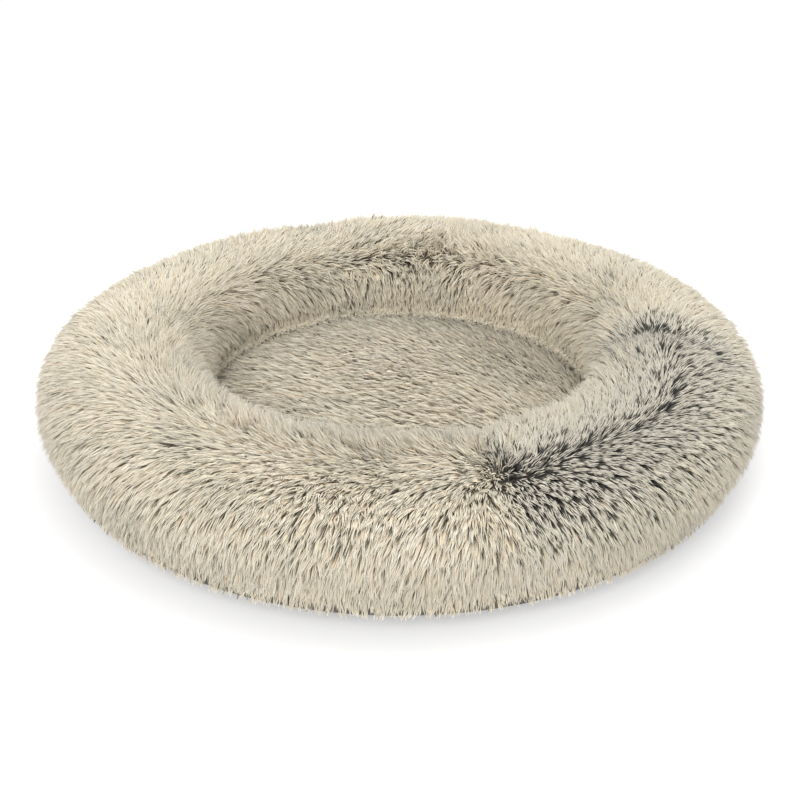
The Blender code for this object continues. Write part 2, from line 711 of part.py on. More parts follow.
def zip_pull(slider, group, material):
    """The pull tab, flat along the closed teeth, its bar on the hinge's axis."""
    bar, arm = PULL_BAR / 2, PULL_WINDOW_WIDTH / 2 + PULL_ARM
    window = PULL_WINDOW_REACH
    waist = window + PULL_BAR + PULL_ARM
    head = PULL_HEAD / 2
    round_at = PULL_LENGTH - head
    side = [(-bar, arm), (window + PULL_BAR, arm), (waist, PULL_WAIST / 2), (round_at - head, head)]
    curve = bpy.data.curves.new("zip_pull", "CURVE")
    curve.dimensions = "2D"
    curve.fill_mode = "BOTH"
    curve.extrude = PULL_THICKNESS / 2
    tip = []
    for i in range(TIP_STEPS + 1):
        turn = math.pi / 2 - math.pi * i / TIP_STEPS
        tip.append((round_at + head * math.cos(turn), head * math.sin(turn)))
    loop(curve, side + tip + [(x, -y) for x, y in reversed(side)])
    half = PULL_WINDOW_WIDTH / 2
    loop(curve, [(bar, half), (window, half), (window, -half), (bar, -half)])
    far = PULL_LENGTH - PULL_HOLE_MARGIN
    near, wide = far - PULL_HOLE_LENGTH, PULL_HOLE_WIDTH / 2
    cut_corner = PULL_HOLE_LENGTH / 4
    loop(curve, [
        (near, wide - cut_corner), (near + cut_corner, wide), (far - cut_corner, wide),
        (far, wide - cut_corner), (far, cut_corner - wide), (far - cut_corner, -wide),
        (near + cut_corner, -wide), (near, cut_corner - wide),
    ])
    pull = add("zip_pull", curve, group, material)
    pull.parent = slider
    pull.location = (0, 0, plate_high() + PIVOT_HEIGHT)
    return pull


def zip_fastener(group, cutters, tape_cloth, resin, metal):
    """The zip in the base seam, closed, with its slider at the start of the track."""
    for side, word in ((-1, "inner"), (1, "outer")):
        zip_tape("zip_tape_" + word, side, group, tape_cloth)
        tooth_row("zip_teeth_" + word, side, group, resin)
        near, far = sorted((side * (BEAD_INNER + SPREAD), side * (BEAD_OUTER + SPREAD)))
        zip_stop("zip_top_stop_" + word, 0, near, far, group, metal)
    end = ZIP_LENGTH - STOP_LENGTH
    zip_stop("zip_bottom_stop", end, -BEAD_OUTER, BEAD_OUTER, group, metal)
    track = bpy.data.objects.new("zip_track_axis", None)
    group.objects.link(track)
    slider = zip_slider(track, group, cutters, metal)
    zip_pull(slider, group, metal)


def main():
    for old in list(bpy.data.objects):
        bpy.data.objects.remove(old)
    bed = collection("donut_pet_bed")
    cutters = collection("cutters")
    plush = colour_of("plush_pile", (0.66, 0.60, 0.48), 0.95)
    sleep_plush = colour_of("sleep_pile", (0.70, 0.64, 0.52), 0.95)
    base_cloth = colour_of("base_cloth", (0.30, 0.27, 0.23), 0.85)
    divider_cloth = colour_of("divider_cloth", (0.62, 0.58, 0.50), 0.9)
    binding = colour_of("binding_tape", (0.42, 0.38, 0.31), 0.85)
    liner_cloth = colour_of("liner_cloth", (0.80, 0.80, 0.78), 0.9)
    fibre = colour_of("fibre", (0.90, 0.90, 0.88), 1.0)
    tape_cloth = colour_of("zip_tape_cloth", (0.38, 0.34, 0.28), 0.8)
    resin = colour_of("zip_resin", (0.30, 0.27, 0.22), 0.45)
    metal = colour_of("zip_metal", (0.58, 0.56, 0.52), 0.3, 1.0)
    rim_cover("rim_cover_right", RADIAL_SEAM, bed, plush)
    rim_cover("rim_cover_left", RADIAL_SEAM + math.pi, bed, plush)
    sleep_panel(bed, sleep_plush)
    base_panel(bed, cutters, base_cloth)
    divider_wall(bed, divider_cloth)
    inner_seam_binding(bed, binding)
    base_seam_binding(bed, binding)
    bags_and_fibre(bed, cutters, liner_cloth, fibre)
    zip_fastener(bed, cutters, tape_cloth, resin, metal)


main()
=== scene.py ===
# %% [markdown]
# # A plush donut bed, dressed round its CAD frame
# The bed is a soft ring round a lower pad, covered in long shaggy pile.
# The frame gives each solid's place and size in metres, with +Z up and the front facing -Y.
# This lesson puts cloth, pile and stitching round those solids, one piece at a time.

# %% Load the frame
import math

import bmesh
import bpy
import numpy as np
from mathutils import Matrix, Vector, kdtree


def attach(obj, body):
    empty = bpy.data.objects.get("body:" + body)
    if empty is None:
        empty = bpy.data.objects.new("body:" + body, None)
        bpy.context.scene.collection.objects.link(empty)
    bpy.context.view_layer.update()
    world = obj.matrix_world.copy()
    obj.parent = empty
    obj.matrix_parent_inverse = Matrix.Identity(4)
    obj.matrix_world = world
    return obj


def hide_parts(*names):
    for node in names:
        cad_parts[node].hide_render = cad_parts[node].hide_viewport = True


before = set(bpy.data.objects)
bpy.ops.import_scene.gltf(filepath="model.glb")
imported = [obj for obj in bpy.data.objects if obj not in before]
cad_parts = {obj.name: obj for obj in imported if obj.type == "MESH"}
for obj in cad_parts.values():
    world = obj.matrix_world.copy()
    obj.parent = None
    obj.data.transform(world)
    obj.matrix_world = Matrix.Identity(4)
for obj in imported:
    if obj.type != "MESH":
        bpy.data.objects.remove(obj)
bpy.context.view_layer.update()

# %% [markdown]
# ## Camera
# The photograph looks down on the bed from a little over a quarter of the way up.
# A camera about twice the bed's width away gives the same narrowing from front to back.
# The frame is shifted a little, because the bed sits above the picture's middle.

# %% Place the camera
VIEW_ELEVATION = math.radians(26.8)
VIEW_DISTANCE = 1.40
AIM = Vector((0, 0, 0.069))

eye = bpy.data.cameras.new("camera")
eye.lens = 58.0
eye.sensor_width = 36
eye.shift_x = 0.001
eye.shift_y = -0.031
eye.clip_start = 0.05
camera = bpy.data.objects.new("camera", eye)
bpy.context.scene.collection.objects.link(camera)
back = Vector((0, -math.cos(VIEW_ELEVATION), math.sin(VIEW_ELEVATION)))
camera.location = AIM + back * VIEW_DISTANCE
camera.rotation_euler = (-back).to_track_quat("-Z", "Y").to_euler()
bpy.context.scene.camera = camera
bpy.context.scene.view_settings.view_transform = "Standard"
print("camera at", [round(x, 3) for x in camera.location])

# %% [markdown]
# ## Node helpers
# A material is a small graph of nodes, and writing one out by hand is long.
# These helpers make a node, set its sockets by name and join it up in a single line.

# %% Make and join shader nodes


def new_material(name, roughness, metallic=0.0, **values):
    """A material with its Principled shader; plain numbers go straight onto the shader."""
    material = bpy.data.materials.new(name)
    material.use_nodes = True
    shader = material.node_tree.nodes["Principled BSDF"]
    shader.inputs["Roughness"].default_value = roughness
    shader.inputs["Metallic"].default_value = metallic
    for socket, value in values.items():
        shader.inputs[socket.replace("_", " ")].default_value = value
    return material, material.node_tree, shader


def node(tree, kind, settings=None, **inputs):
    """A node of this kind. A value that is a socket is linked, and any other is set."""
    made = tree.nodes.new(kind)
    for key, value in (settings or {}).items():
        setattr(made, key, value)
    for key, value in inputs.items():
        place = made.inputs[int(key[1:])] if key[1:].isdigit() else made.inputs[key.replace("_", " ")]
        if isinstance(value, bpy.types.NodeSocket):
            tree.links.new(value, place)
        else:
            place.default_value = value
    return made


def maths(tree, operation, a, b=0.5, c=0.5):
    """One sum, whose terms are numbers or sockets."""
    return node(tree, "ShaderNodeMath", {"operation": operation}, i0=a, i1=b, i2=c).outputs[0]


def mixed(tree, share, a, b, blend="MIX"):
    """Two colours mixed or blended by a share."""
    settings = {"data_type": "RGBA", "blend_type": blend}
    return node(tree, "ShaderNodeMix", settings, i0=share, i6=a, i7=b).outputs[2]


def ramp(tree, share, *stops):
    """A colour ramp from (place, colour) stops."""
    made = node(tree, "ShaderNodeValToRGB", None, i0=share)
    band = made.color_ramp
    while len(band.elements) < len(stops):
        band.elements.new(0.5)
    for element, (place, colour) in zip(band.elements, stops):
        element.position = place
        element.color = (*colour, 1)
    return made.outputs[0]


def noise(tree, place, scale, detail, **more):
    """Cloudy noise with this many cells to a unit of its place, from 0 to 1."""
    return node(tree, "ShaderNodeTexNoise", None, Vector=place, Scale=scale, Detail=detail, **more).outputs[0]


def eased(tree, value, low, high):
    """0 up to low and 1 from high, with a smooth rise between."""
    settings = {"interpolation_type": "SMOOTHSTEP"}
    return node(tree, "ShaderNodeMapRange", settings, Value=value, From_Min=low, From_Max=high).outputs[0]


def object_place(tree):
    """The place on a piece, in metres."""
    return node(tree, "ShaderNodeTexCoord").outputs["Object"]


def speckled_material(name, roughness, scale, detail, dark, light, noise_settings=None, **values):
    """A finish that wanders between two colours; its noise is returned for bump or roughness."""
    material, tree, shader = new_material(name, roughness, **values)
    specks = noise(tree, object_place(tree), scale, detail, **(noise_settings or {}))
    tree.links.new(ramp(tree, specks, dark, light), shader.inputs["Base Color"])
    return material, tree, shader, specks


# %% [markdown]
# ## Floor and light
# A pale floor holds the bed's soft shadow, and the world lights it evenly like a white tent.
# Camera rays see both as white, which costs no extra light on the bed itself.

# %% Light the room


def white_for_the_eye(tree):
    """1 for rays from the camera, and for those that a mirror or glass sends on."""
    rays = tree.nodes.new("ShaderNodeLightPath").outputs
    seen = maths(tree, "MAXIMUM", rays["Is Camera Ray"], rays["Is Glossy Ray"])
    return maths(tree, "MAXIMUM", seen, rays["Is Transmission Ray"])


WORLD_LIGHT = 0.80
LAMP_AIM = Vector((0, 0, 0.05))
FLOOR_RADIUS = 9
FLOOR_DROP = 0.0005
FLOOR_TONE = 0.72
FLOOR_GLOW = 0.36
world = bpy.data.worlds.new("room")
world.use_nodes = True
bpy.context.scene.world = world
room = world.node_tree
strength = maths(room, "MULTIPLY_ADD", white_for_the_eye(room), 1 - WORLD_LIGHT, WORLD_LIGHT)
sky = room.nodes["Background"]
sky.inputs[0].default_value = (1, 1, 1, 1)
room.links.new(strength, sky.inputs[1])


def softbox(name, place, size, watts):
    """A large square lamp that faces the bed."""
    data = bpy.data.lights.new(name, "AREA")
    data.size = size
    data.energy = watts
    lamp = bpy.data.objects.new(name, data)
    lamp.location = place
    lamp.rotation_euler = (LAMP_AIM - Vector(place)).to_track_quat("-Z", "Y").to_euler()
    bpy.context.scene.collection.objects.link(lamp)


softbox("key_lamp", (-0.7, -3.1, 2.5), 2.4, 73)
softbox("top_lamp", (0.35, 0.4, 2.3), 1.8, 14.5)

bm = bmesh.new()
bmesh.ops.create_circle(bm, cap_ends=True, segments=96, radius=FLOOR_RADIUS)
floor_mesh = bpy.data.meshes.new("floor")
bm.to_mesh(floor_mesh)
bm.free()
floor = bpy.data.objects.new("floor", floor_mesh)
floor.location.z = -FLOOR_DROP
bpy.context.scene.collection.objects.link(floor)
floor_paint, tree, shader = new_material("floor_paint", 0.9)
shader.inputs["Base Color"].default_value = (FLOOR_TONE, FLOOR_TONE, FLOOR_TONE, 1)
shader.inputs["Specular IOR Level"].default_value = 0.0
shader.inputs["Emission Color"].default_value = (1, 1, 1, 1)
glow = maths(tree, "MULTIPLY", white_for_the_eye(tree), FLOOR_GLOW)
tree.links.new(glow, shader.inputs["Emission Strength"])
floor_mesh.materials.append(floor_paint)
print("lamps and floor made")

# %% [markdown]
# ## The ring's form
# The ring's section is a rounded square, a little squarer than an ellipse, as stuffed cloth is.
# A turn of 0 is its outer side, a quarter turn its top and a half turn its inner side.
# The covers are drawn in at their two radial seams, gathered at the pad, and worn low in a few places.

# %% Describe the ring
RING_RADIUS = 0.293
SECTION_POWER = 2.4
OUTSIDE = (0.087, 0.071, 0.071)
INSIDE = (0.072, 0.06275, 0.06425)
HEM_TURN = math.radians(-55.0)
INNER_SEAM_TURN = math.radians(207)
RADIAL_SEAM = math.radians(-72)


def smooth_step(value, start, stop):
    """0 up to the start and 1 from the stop, with a smooth rise between."""
    share = np.clip((value - start) / (stop - start), 0, 1)
    return share * share * (3 - 2 * share)


def off_from(angle, middle):
    """The signed way from a middle angle to this one, at most half a turn."""
    return np.remainder(angle - middle + math.pi, math.tau) - math.pi


def bell(value, middle, width):
    """1 at the middle, and nearly 0 from twice this width away."""
    return np.exp(-(((value - middle) / width) ** 2))


def bump_at(angle, middle, width):
    """1 at this angle of the ring and 0 away from it."""
    return bell(off_from(angle, middle), 0, width)


SEAM_DRAW = 0.006
SEAM_SPREAD = 0.12
SWELL = 0.0015
SWELLS = 4
GATHER = 0.002
GATHERS = 20
GATHER_TURN = 2.27
SEAM_PULL_TURN = 2.62
TUCK = 0.003
# Low places: depth, then middle and width round the ring.
RIGHT_DIP = (0.007, math.radians(-45), 0.26)
FRONT_DIP = (0.009, math.radians(-100), 0.55)
BACK_DIP = (0.004, 1.5, 0.7)
CREASE_DIP = (0.006, math.radians(-7), 0.10)
FRONT_SIDE_DIP = (0.008, math.radians(-95), 0.8)


def draw_in(turn, angle):
    """How far the cloth is pulled in from the ring's full section."""

    def low(place):
        return place[0] * bump_at(angle, *place[1:])

    radial_seams = sum(bump_at(angle, RADIAL_SEAM + side, SEAM_SPREAD) for side in (0, math.pi))
    swell = SWELL * (1 - np.cos(SWELLS * angle))
    gather = GATHER * (1 - np.cos(GATHERS * angle)) * smooth_step(turn, GATHER_TURN, SEAM_PULL_TURN)
    upward = np.clip(np.sin(turn), 0, 1)
    dip = low(RIGHT_DIP) * upward + (low(FRONT_DIP) + low(BACK_DIP)) * upward**2
    dip = dip + low(CREASE_DIP) * smooth_step(turn, 0.7, 1.5) + low(FRONT_SIDE_DIP) * bell(turn, -0.1, 0.45)
    tuck = TUCK * bell(turn, -0.35, 0.35)
    free_of_hem = smooth_step(turn, HEM_TURN, 0)
    free_of_seam = 1 - smooth_step(turn, SEAM_PULL_TURN, INNER_SEAM_TURN)
    return ((SEAM_DRAW * radial_seams + swell) * free_of_hem + gather + dip + tuck) * free_of_seam


def round_the_axis(r, z, angle):
    """The point this far from the upright axis, this high and at this angle."""
    return np.stack([r * np.cos(angle), r * np.sin(angle), z + 0 * angle], -1)


def section_point(turn, form):
    """The place (r, z) on a full section, with 0 at its outer side and a quarter turn at its top."""
    half_width, half_height, middle = form
    power = 2 / SECTION_POWER
    across = np.sign(np.cos(turn)) * np.abs(np.cos(turn)) ** power
    up = np.sign(np.sin(turn)) * np.abs(np.sin(turn)) ** power
    return RING_RADIUS + half_width * across, middle + half_height * up


def ring_point(turn, angle, off=0.0):
    """A point of the covers' cloth, moved out by off: its two ends reach out to the seams."""
    r, z = section_point(turn, INSIDE)
    seam_r, seam_z = section_point(turn, OUTSIDE)
    at_seam = 1 - smooth_step(turn, HEM_TURN, -0.45) + smooth_step(turn, 3.2, INNER_SEAM_TURN)
    r, z = r + (seam_r - r) * at_seam, z + (seam_z - z) * at_seam
    dr, dz = r - RING_RADIUS, z - INSIDE[2]
    share = 1 + (off - draw_in(turn, angle)) / np.hypot(dr, dz)
    return round_the_axis(RING_RADIUS + dr * share, INSIDE[2] + dz * share, angle)


def unit(v):
    """Vectors of length one."""
    return v / np.maximum(np.linalg.norm(v, axis=-1, keepdims=True), 1e-12)


def frame_on(place, a, b, near=0.002):
    """A surface's outward normal, and its directions of rising a and of rising b."""
    along_a = unit(place(a + near, b) - place(a - near, b))
    along_b = unit(place(a, b + near) - place(a, b - near))
    return unit(np.cross(along_b, along_a)), along_a, along_b


print("cloth on the ring's crest at", ring_point(np.array(math.pi / 2), np.array(0.0)).round(3))

# %% Describe the underside
ZIP_RADIUS = 0.339


def under_skin(r, depth):
    """The place (r, z) this deep inside the bed's underside: flat, then turned up under the ring."""
    half_width, half_height, _ = OUTSIDE
    across = np.maximum(0.0, (np.asarray(r, float) - RING_RADIUS) / half_width)
    left = 1 - across**SECTION_POWER
    height = half_height * (1 - left ** (1 / SECTION_POWER))
    rise = half_height / half_width * across ** (SECTION_POWER - 1)
    tilt = np.arctan(rise * left ** (1 / SECTION_POWER - 1))
    return r - depth * np.sin(tilt), height + depth * np.cos(tilt), tilt


ZIP_TILT = float(under_skin(ZIP_RADIUS, 0)[2])
ZIP_WINDOW = 0.009
BASE_EDGE = ZIP_RADIUS + ZIP_WINDOW * math.cos(ZIP_TILT)
BASE_CUT = ZIP_RADIUS - ZIP_WINDOW * math.cos(ZIP_TILT)
print("the base seam is at r", round(BASE_EDGE, 4), "and z", round(float(under_skin(BASE_EDGE, 0)[1]), 4))

# %% [markdown]
# ## Finished pieces
# Every piece ends the same way: a mesh at the origin, a material and the body it rides on.
# Pieces that repeat one small shape, such as stitches, are posed copies joined into one mesh.

# %% Make pieces


def finished(name, mesh, paint, slot, *nodes):
    """A piece that rides on the bed with this paint, and may replace CAD nodes; its slot is not used."""
    mesh.materials.append(paint)
    piece = bpy.data.objects.new(name, mesh)
    bpy.context.scene.collection.objects.link(piece)
    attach(piece, "bed")
    if nodes:
        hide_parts(*nodes)
    return piece


def mesh_of(bm, name):
    """A smooth mesh from a bmesh, which is freed."""
    mesh = bpy.data.meshes.new(name)
    bm.to_mesh(mesh)
    bm.free()
    mesh.shade_smooth()
    return mesh


def shape_of(bm):
    """A bmesh's corners and faces as plain lists, so that copies of it can be posed together."""
    bmesh.ops.recalc_face_normals(bm, faces=bm.faces)
    bm.verts.index_update()
    corners = np.array([v.co[:] for v in bm.verts])
    faces = [[v.index for v in face.verts] for face in bm.faces]
    bm.free()
    return corners, faces


def repeated(name, corners, faces):
    """One mesh of many copies of a shape, from every copy's own corners."""
    count, each = corners.shape[:2]
    sizes = np.array([len(face) for face in faces])
    flat = np.array([i for face in faces for i in face])
    loops = (flat[None] + (np.arange(count) * each)[:, None]).ravel()
    starts = np.concatenate([[0], np.cumsum(np.tile(sizes, count))[:-1]])
    mesh = bpy.data.meshes.new(name)
    mesh.vertices.add(count * each)
    mesh.vertices.foreach_set("co", corners.astype(np.float32).ravel())
    mesh.loops.add(len(loops))
    mesh.loops.foreach_set("vertex_index", loops.astype(np.int32))
    mesh.polygons.add(len(starts))
    mesh.polygons.foreach_set("loop_start", starts.astype(np.int32))
    mesh.polygons.foreach_set("use_smooth", np.ones(len(starts), bool))
    mesh.update(calc_edges=True)
    return mesh


# %% [markdown]
# ## Pile
# Each visible lock of long pile is many fine hairs that cling together and end in a point.
# A particle system would give hairs that the export can't carry, so each lock is a closed mesh.
# One lock is a three-sided cone, cut into rings and flattened; copies of it are bent by arrays.

# %% Shape one lock
RING_AT = (0, 0.55)
RING_WIDTHS = (0.6, 1.0)
LOCK_FLATNESS = 0.6
COLOUR_COLUMNS = 64
FINE_STEPS = 12

bm = bmesh.new()
bmesh.ops.create_cone(bm, cap_ends=True, segments=3, radius1=0.5, radius2=0, depth=1)
bmesh.ops.translate(bm, vec=(0, 0, 0.5), verts=bm.verts)
for height in RING_AT[1:]:
    everything = bm.verts[:] + bm.edges[:] + bm.faces[:]
    bmesh.ops.bisect_plane(bm, geom=everything, plane_co=(0, 0, height), plane_no=(0, 0, 1))
for height, width in zip(RING_AT, RING_WIDTHS):
    ring = [v for v in bm.verts if abs(v.co.z - height) < 0.01]
    share = width / (1 - height)
    bmesh.ops.scale(bm, vec=(share, share * LOCK_FLATNESS, 1), verts=ring)
lock_corners, lock_faces = shape_of(bm)
print("a lock has", len(lock_corners), "corners and", len(lock_faces), "faces")

# %% Grow the curves of many locks
BEND_PIVOT = 0.3
CLUMP_REACH = (0.003, 0.006)


def grow(root, normal, lean, length, lean_root, lean_tip, droop, bend):
    """Curves from the roots: they lean over more and more, droop, and bend sideways."""
    share = (np.arange(FINE_STEPS) + 0.5) / FINE_STEPS
    slope = (lean_root[:, None] + (lean_tip - lean_root)[:, None] * share)[..., None]
    step = normal[:, None] + lean[:, None] * slope
    step = step + np.cross(unit(lean), normal)[:, None] * (bend[:, None] * (share - BEND_PIVOT))[..., None]
    step[..., 2] -= droop[:, None] * share**2
    step = unit(step) * (length / FINE_STEPS)[:, None, None]
    path = np.concatenate([np.zeros((len(root), 1, 3)), np.cumsum(step, 1)], 1)
    return root[:, None] + path


def nearest(points, centres):
    """The index of the nearest centre for each point."""
    tree = kdtree.KDTree(len(centres))
    for i, centre in enumerate(centres):
        tree.insert(centre, i)
    tree.balance()
    return np.array([tree.find(point)[1] for point in points])


def gathered(path, clump, clumps, pull):
    """Draws the locks of a clump together towards their tips, unless they lie apart."""
    leader = path[:clumps][clump]
    apart = np.linalg.norm(leader[:, 0] - path[:, 0], axis=1)
    grip = pull * (1 - smooth_step(apart, *CLUMP_REACH))[:, None] * np.linspace(0, 1, FINE_STEPS + 1) ** 1.3
    return path + grip[..., None] * (leader - path)


# %% Turn curves into one mesh
SOFTNESS = 0.56
COLUMN_FILL = 0.8
CAP_SHIFT = 0.02


def locks_mesh(name, path, sideways, width, twist, column, facing):
    """One mesh of locks that follow these curves, with columns of colour in its UV map.

    The locks' normals lean towards the cloth's own, because light wanders through real pile
    and so follows the form under it.
    """
    stations = path[:, [round(share * FINE_STEPS) for share in (*RING_AT, 1)]]
    tangent = unit(np.gradient(stations, axis=1))
    across = sideways[:, None] - tangent * (sideways[:, None] * tangent).sum(-1, keepdims=True)
    across = unit(across)
    outward = np.cross(tangent, across)
    turn_cos, turn_sin = np.cos(twist)[:, None, None], np.sin(twist)[:, None, None]
    across, outward = across * turn_cos + outward * turn_sin, outward * turn_cos - across * turn_sin
    ring = np.searchsorted((*RING_AT, 1), lock_corners[:, 2] - 0.01)
    x, y = lock_corners[:, 0, None], lock_corners[:, 1, None]
    wide = width[:, None, None]
    corners = stations[:, ring] + across[:, ring] * x * wide + outward[:, ring] * y * wide
    mesh = repeated(name, corners, lock_faces)
    round_lock = unit(across[:, ring] * x + outward[:, ring] * y)
    soft = unit(round_lock * (1 - SOFTNESS) + facing[:, None] * SOFTNESS)
    mesh.normals_split_custom_set_from_vertices(soft.reshape(-1, 3))
    sizes = [len(face) for face in lock_faces]
    flat = np.array([i for face in lock_faces for i in face])
    u = (column[:, None] + 0.5 + COLUMN_FILL * lock_corners[flat, 0][None]) / COLOUR_COLUMNS
    v = np.repeat(lock_corners[flat, 2][None], len(path), 0)
    root_cap = np.repeat([len(set(lock_corners[face, 2])) == 1 for face in lock_faces], sizes)
    v = v + root_cap * (lock_corners[flat, 1] > 0.1) * CAP_SHIFT
    layer = mesh.uv_layers.new(name="OFBake")
    layer.uv.foreach_set("vector", np.stack([u, v], -1).astype(np.float32).ravel())
    return mesh


# %% [markdown]
# ## Pile colour
# Most hairs are a little deeper at the root than at their cream tip, and smoky ones are nearly black there;
# gathered at the partings, crease and seam, those black roots are partly painted shade.
# The UV map gives each lock a column of colour, and its height runs from root to tip.
# Reading only that map keeps the colours on the locks however they lie.

# %% Paint the pile
# Columns up to this share are smoky, with near-black roots: real flecks, and painted shade where they gather
# at the partings, crease and seam.
SMOKY_AND_PAINTED_SHADE_TO = 0.22
PLAIN_FROM = 0.26
LAST_TONE = 0.999
TIP_SHUFFLE = 0.16
HAIRS_ACROSS = 5
HAIR_BREAKS = 2.5


def pile_material(name, tips, middles, roots):
    """Pile colour: root to tip up the map, and from smoky, partly painted shade, through cool to warm across
    it.
    """
    material, tree, shader = new_material(name, 0.75, Sheen_Weight=0.2, Sheen_Roughness=0.4)
    shader.inputs["Specular IOR Level"].default_value = 0.3
    place = node(tree, "ShaderNodeUVMap", {"uv_map": "OFBake"}).outputs[0]
    u, v, _ = node(tree, "ShaderNodeSeparateXYZ", None, i0=place).outputs
    column = maths(tree, "FLOOR", maths(tree, "MULTIPLY", u, COLOUR_COLUMNS), 0)
    tone = maths(tree, "DIVIDE", column, COLOUR_COLUMNS)
    shuffle = node(tree, "ShaderNodeTexWhiteNoise", {"noise_dimensions": "1D"}, W=column).outputs[0]
    reach = maths(tree, "MULTIPLY_ADD", shuffle, TIP_SHUFFLE, v)
    tip, middle, root = (ramp(tree, tone, *stops) for stops in (tips, middles, roots))
    low = eased(tree, reach, 0.25, 0.6)
    plain = maths(tree, "GREATER_THAN", tone, (SMOKY_AND_PAINTED_SHADE_TO + PLAIN_FROM) / 2)
    high = eased(tree, reach, maths(tree, "MULTIPLY_ADD", plain, -0.10, 0.64),
                 maths(tree, "MULTIPLY_ADD", plain, 0.10, 0.82))
    colour = mixed(tree, high, mixed(tree, low, root, middle), tip)
    across = maths(tree, "MULTIPLY", u, COLOUR_COLUMNS * HAIRS_ACROSS)
    along = maths(tree, "MULTIPLY", v, HAIR_BREAKS)
    stretch = node(tree, "ShaderNodeCombineXYZ", None, X=across, Y=along)
    hairs = noise(tree, stretch.outputs[0], 1.0, 2.0)
    streak = ramp(tree, hairs, (0.3, (0.78, 0.76, 0.74)), (0.62, (1.0, 1.0, 1.0)))
    colour = mixed(tree, 0.8, colour, streak, "MULTIPLY")
    tree.links.new(colour, shader.inputs["Base Color"])
    return material


# The stops up to 0.22 are the smoky locks; their near-black middles and roots are partly painted shade.
PILE_TIPS = [(0.0, (0.68, 0.64, 0.545)), (0.22, (0.84, 0.79, 0.665)), (0.30, (0.72, 0.67, 0.54)),
             (0.5, (0.90, 0.84, 0.675)), (0.7, (0.98, 0.91, 0.73)), (0.85, (0.93, 0.79, 0.59)),
             (1.0, (0.99, 0.955, 0.84))]
PILE_MIDDLES = [(0.0, (0.05, 0.05, 0.048)), (0.22, (0.16, 0.15, 0.125)), (0.30, (0.60, 0.545, 0.425)),
                (0.5, (0.76, 0.685, 0.53)), (0.7, (0.88, 0.785, 0.595)), (0.85, (0.78, 0.62, 0.44)),
                (1.0, (0.93, 0.865, 0.72))]
PILE_ROOTS = [(0.0, (0.014, 0.015, 0.016)), (0.22, (0.045, 0.042, 0.037)), (0.30, (0.50, 0.45, 0.355)),
              (0.6, (0.66, 0.58, 0.45)), (1.0, (0.74, 0.66, 0.52))]
pile_paint = pile_material("shaggy_pile", PILE_TIPS, PILE_MIDDLES, PILE_ROOTS)
print("pile material:", len(pile_paint.node_tree.nodes), "nodes")

# %% [markdown]
# ## Where the locks stand
# Roots are spread by area with a sequence that neither piles up nor leaves gaps, and sparser under the bed.
# The lay turns smoothly from outward, through along the ring at its crest, to inward.
# The two panels are laid away from the front seam, so the pile parts there and shows its roots.

# %% Spread the roots
random = np.random.default_rng(7)
PLASTIC_NUMBER = 1.32471795724
UNDER_SHARE = 0.35
PILE_START = math.radians(-36)


def even_pairs(count):
    """Evenly spread pairs of numbers from 0 to 1."""
    i = np.arange(count)
    return (0.5 + i / PLASTIC_NUMBER) % 1, (0.5 + i / PLASTIC_NUMBER**2) % 1


def spread_on_ring(count, first, last):
    """Turns and angles of roots spread by area over a stretch of the ring."""
    a, b = even_pairs(count)
    table = np.linspace(PILE_START, INNER_SEAM_TURN, 400)
    points = ring_point(table, np.zeros_like(table))
    length = np.linalg.norm(np.diff(points, axis=0), axis=1)
    weight = length * (points[1:, 0] + points[:-1, 0]) / 2
    weight = weight * (UNDER_SHARE + (1 - UNDER_SHARE) * smooth_step(table[1:], -0.6, -0.1))
    area = np.concatenate([[0], np.cumsum(weight)])
    turn = np.interp(a * area[-1], area, table)
    return turn, first + (last - first) * b


def waves(a, b, *terms):
    """A slow wandering pattern, about -1 to 1."""
    total = 0
    for k, m, phase in terms:
        total = total + np.sin(k * a + m * b + phase)
    return total / len(terms)


# The front's pile turns over further in: how much, and its middle and width round the ring.
FRONT_SHIFT = (0.50, math.radians(-115), 0.95)
PANEL_FLIP = 0.07
REAR_FLIP = (math.radians(128), math.radians(168))
CREST_TURN = 1.50
CREASE_FLIP = 0.02
CREASE_WIDTH = 0.11


def panel_side(angle):
    """The way round that the panels are laid: 1 on the right and -1 on the left."""
    from_seam = np.remainder(angle - RADIAL_SEAM, math.tau)
    side = 1 - 2 * smooth_step(from_seam, *REAR_FLIP)
    side = side + 2 * smooth_step(from_seam, math.tau - PANEL_FLIP, math.tau + PANEL_FLIP)
    return side - 2 * (1 - smooth_step(from_seam, -PANEL_FLIP, PANEL_FLIP))


def falling_out(turned, angle):
    """How far the pile falls outwards: 1 on the outer side, and -1 past where it turns over."""
    opened = open_parting(angle)
    line = parting_turn(angle)
    falls_over = 1 - 2 * smooth_step(turned, math.radians(45), math.radians(165))
    parts = 1 - 1.3 * smooth_step(turned, line - 0.16, line + 0.10)
    parts = parts - 0.7 * smooth_step(turned, line + 0.3, 2.8)
    return falls_over * (1 - opened) + parts * opened


def lying_round(turn, turned, angle):
    """How far the pile lies along the ring: most at the crest, and apart at the crease."""
    at_back = bump_at(angle, math.radians(95), 1.0)
    swirl = 0.82 - 0.42 * open_parting(angle) + 0.2 * at_back
    lay = swirl * bell(turned - CREST_TURN, 0.5 * at_back, 0.60)
    lay = lay * (1 - 0.75 * bump_at(angle, math.radians(10), 0.55))
    by_seam = 0.5 * bump_at(angle, math.radians(-84), 0.12) * smooth_step(turn, -0.6, 0.2)
    stray = 0.14 * waves(angle, turn, (5, 2, 0.3), (9, -3, 2.2), (17, 5, 1.0))
    lay = panel_side(angle) * lay - by_seam + stray
    past = off_from(angle, crease_angle(turn))
    return lay + 1.1 * np.tanh(past / CREASE_FLIP) * bell(past, 0, CREASE_WIDTH) * over_crest(turn)


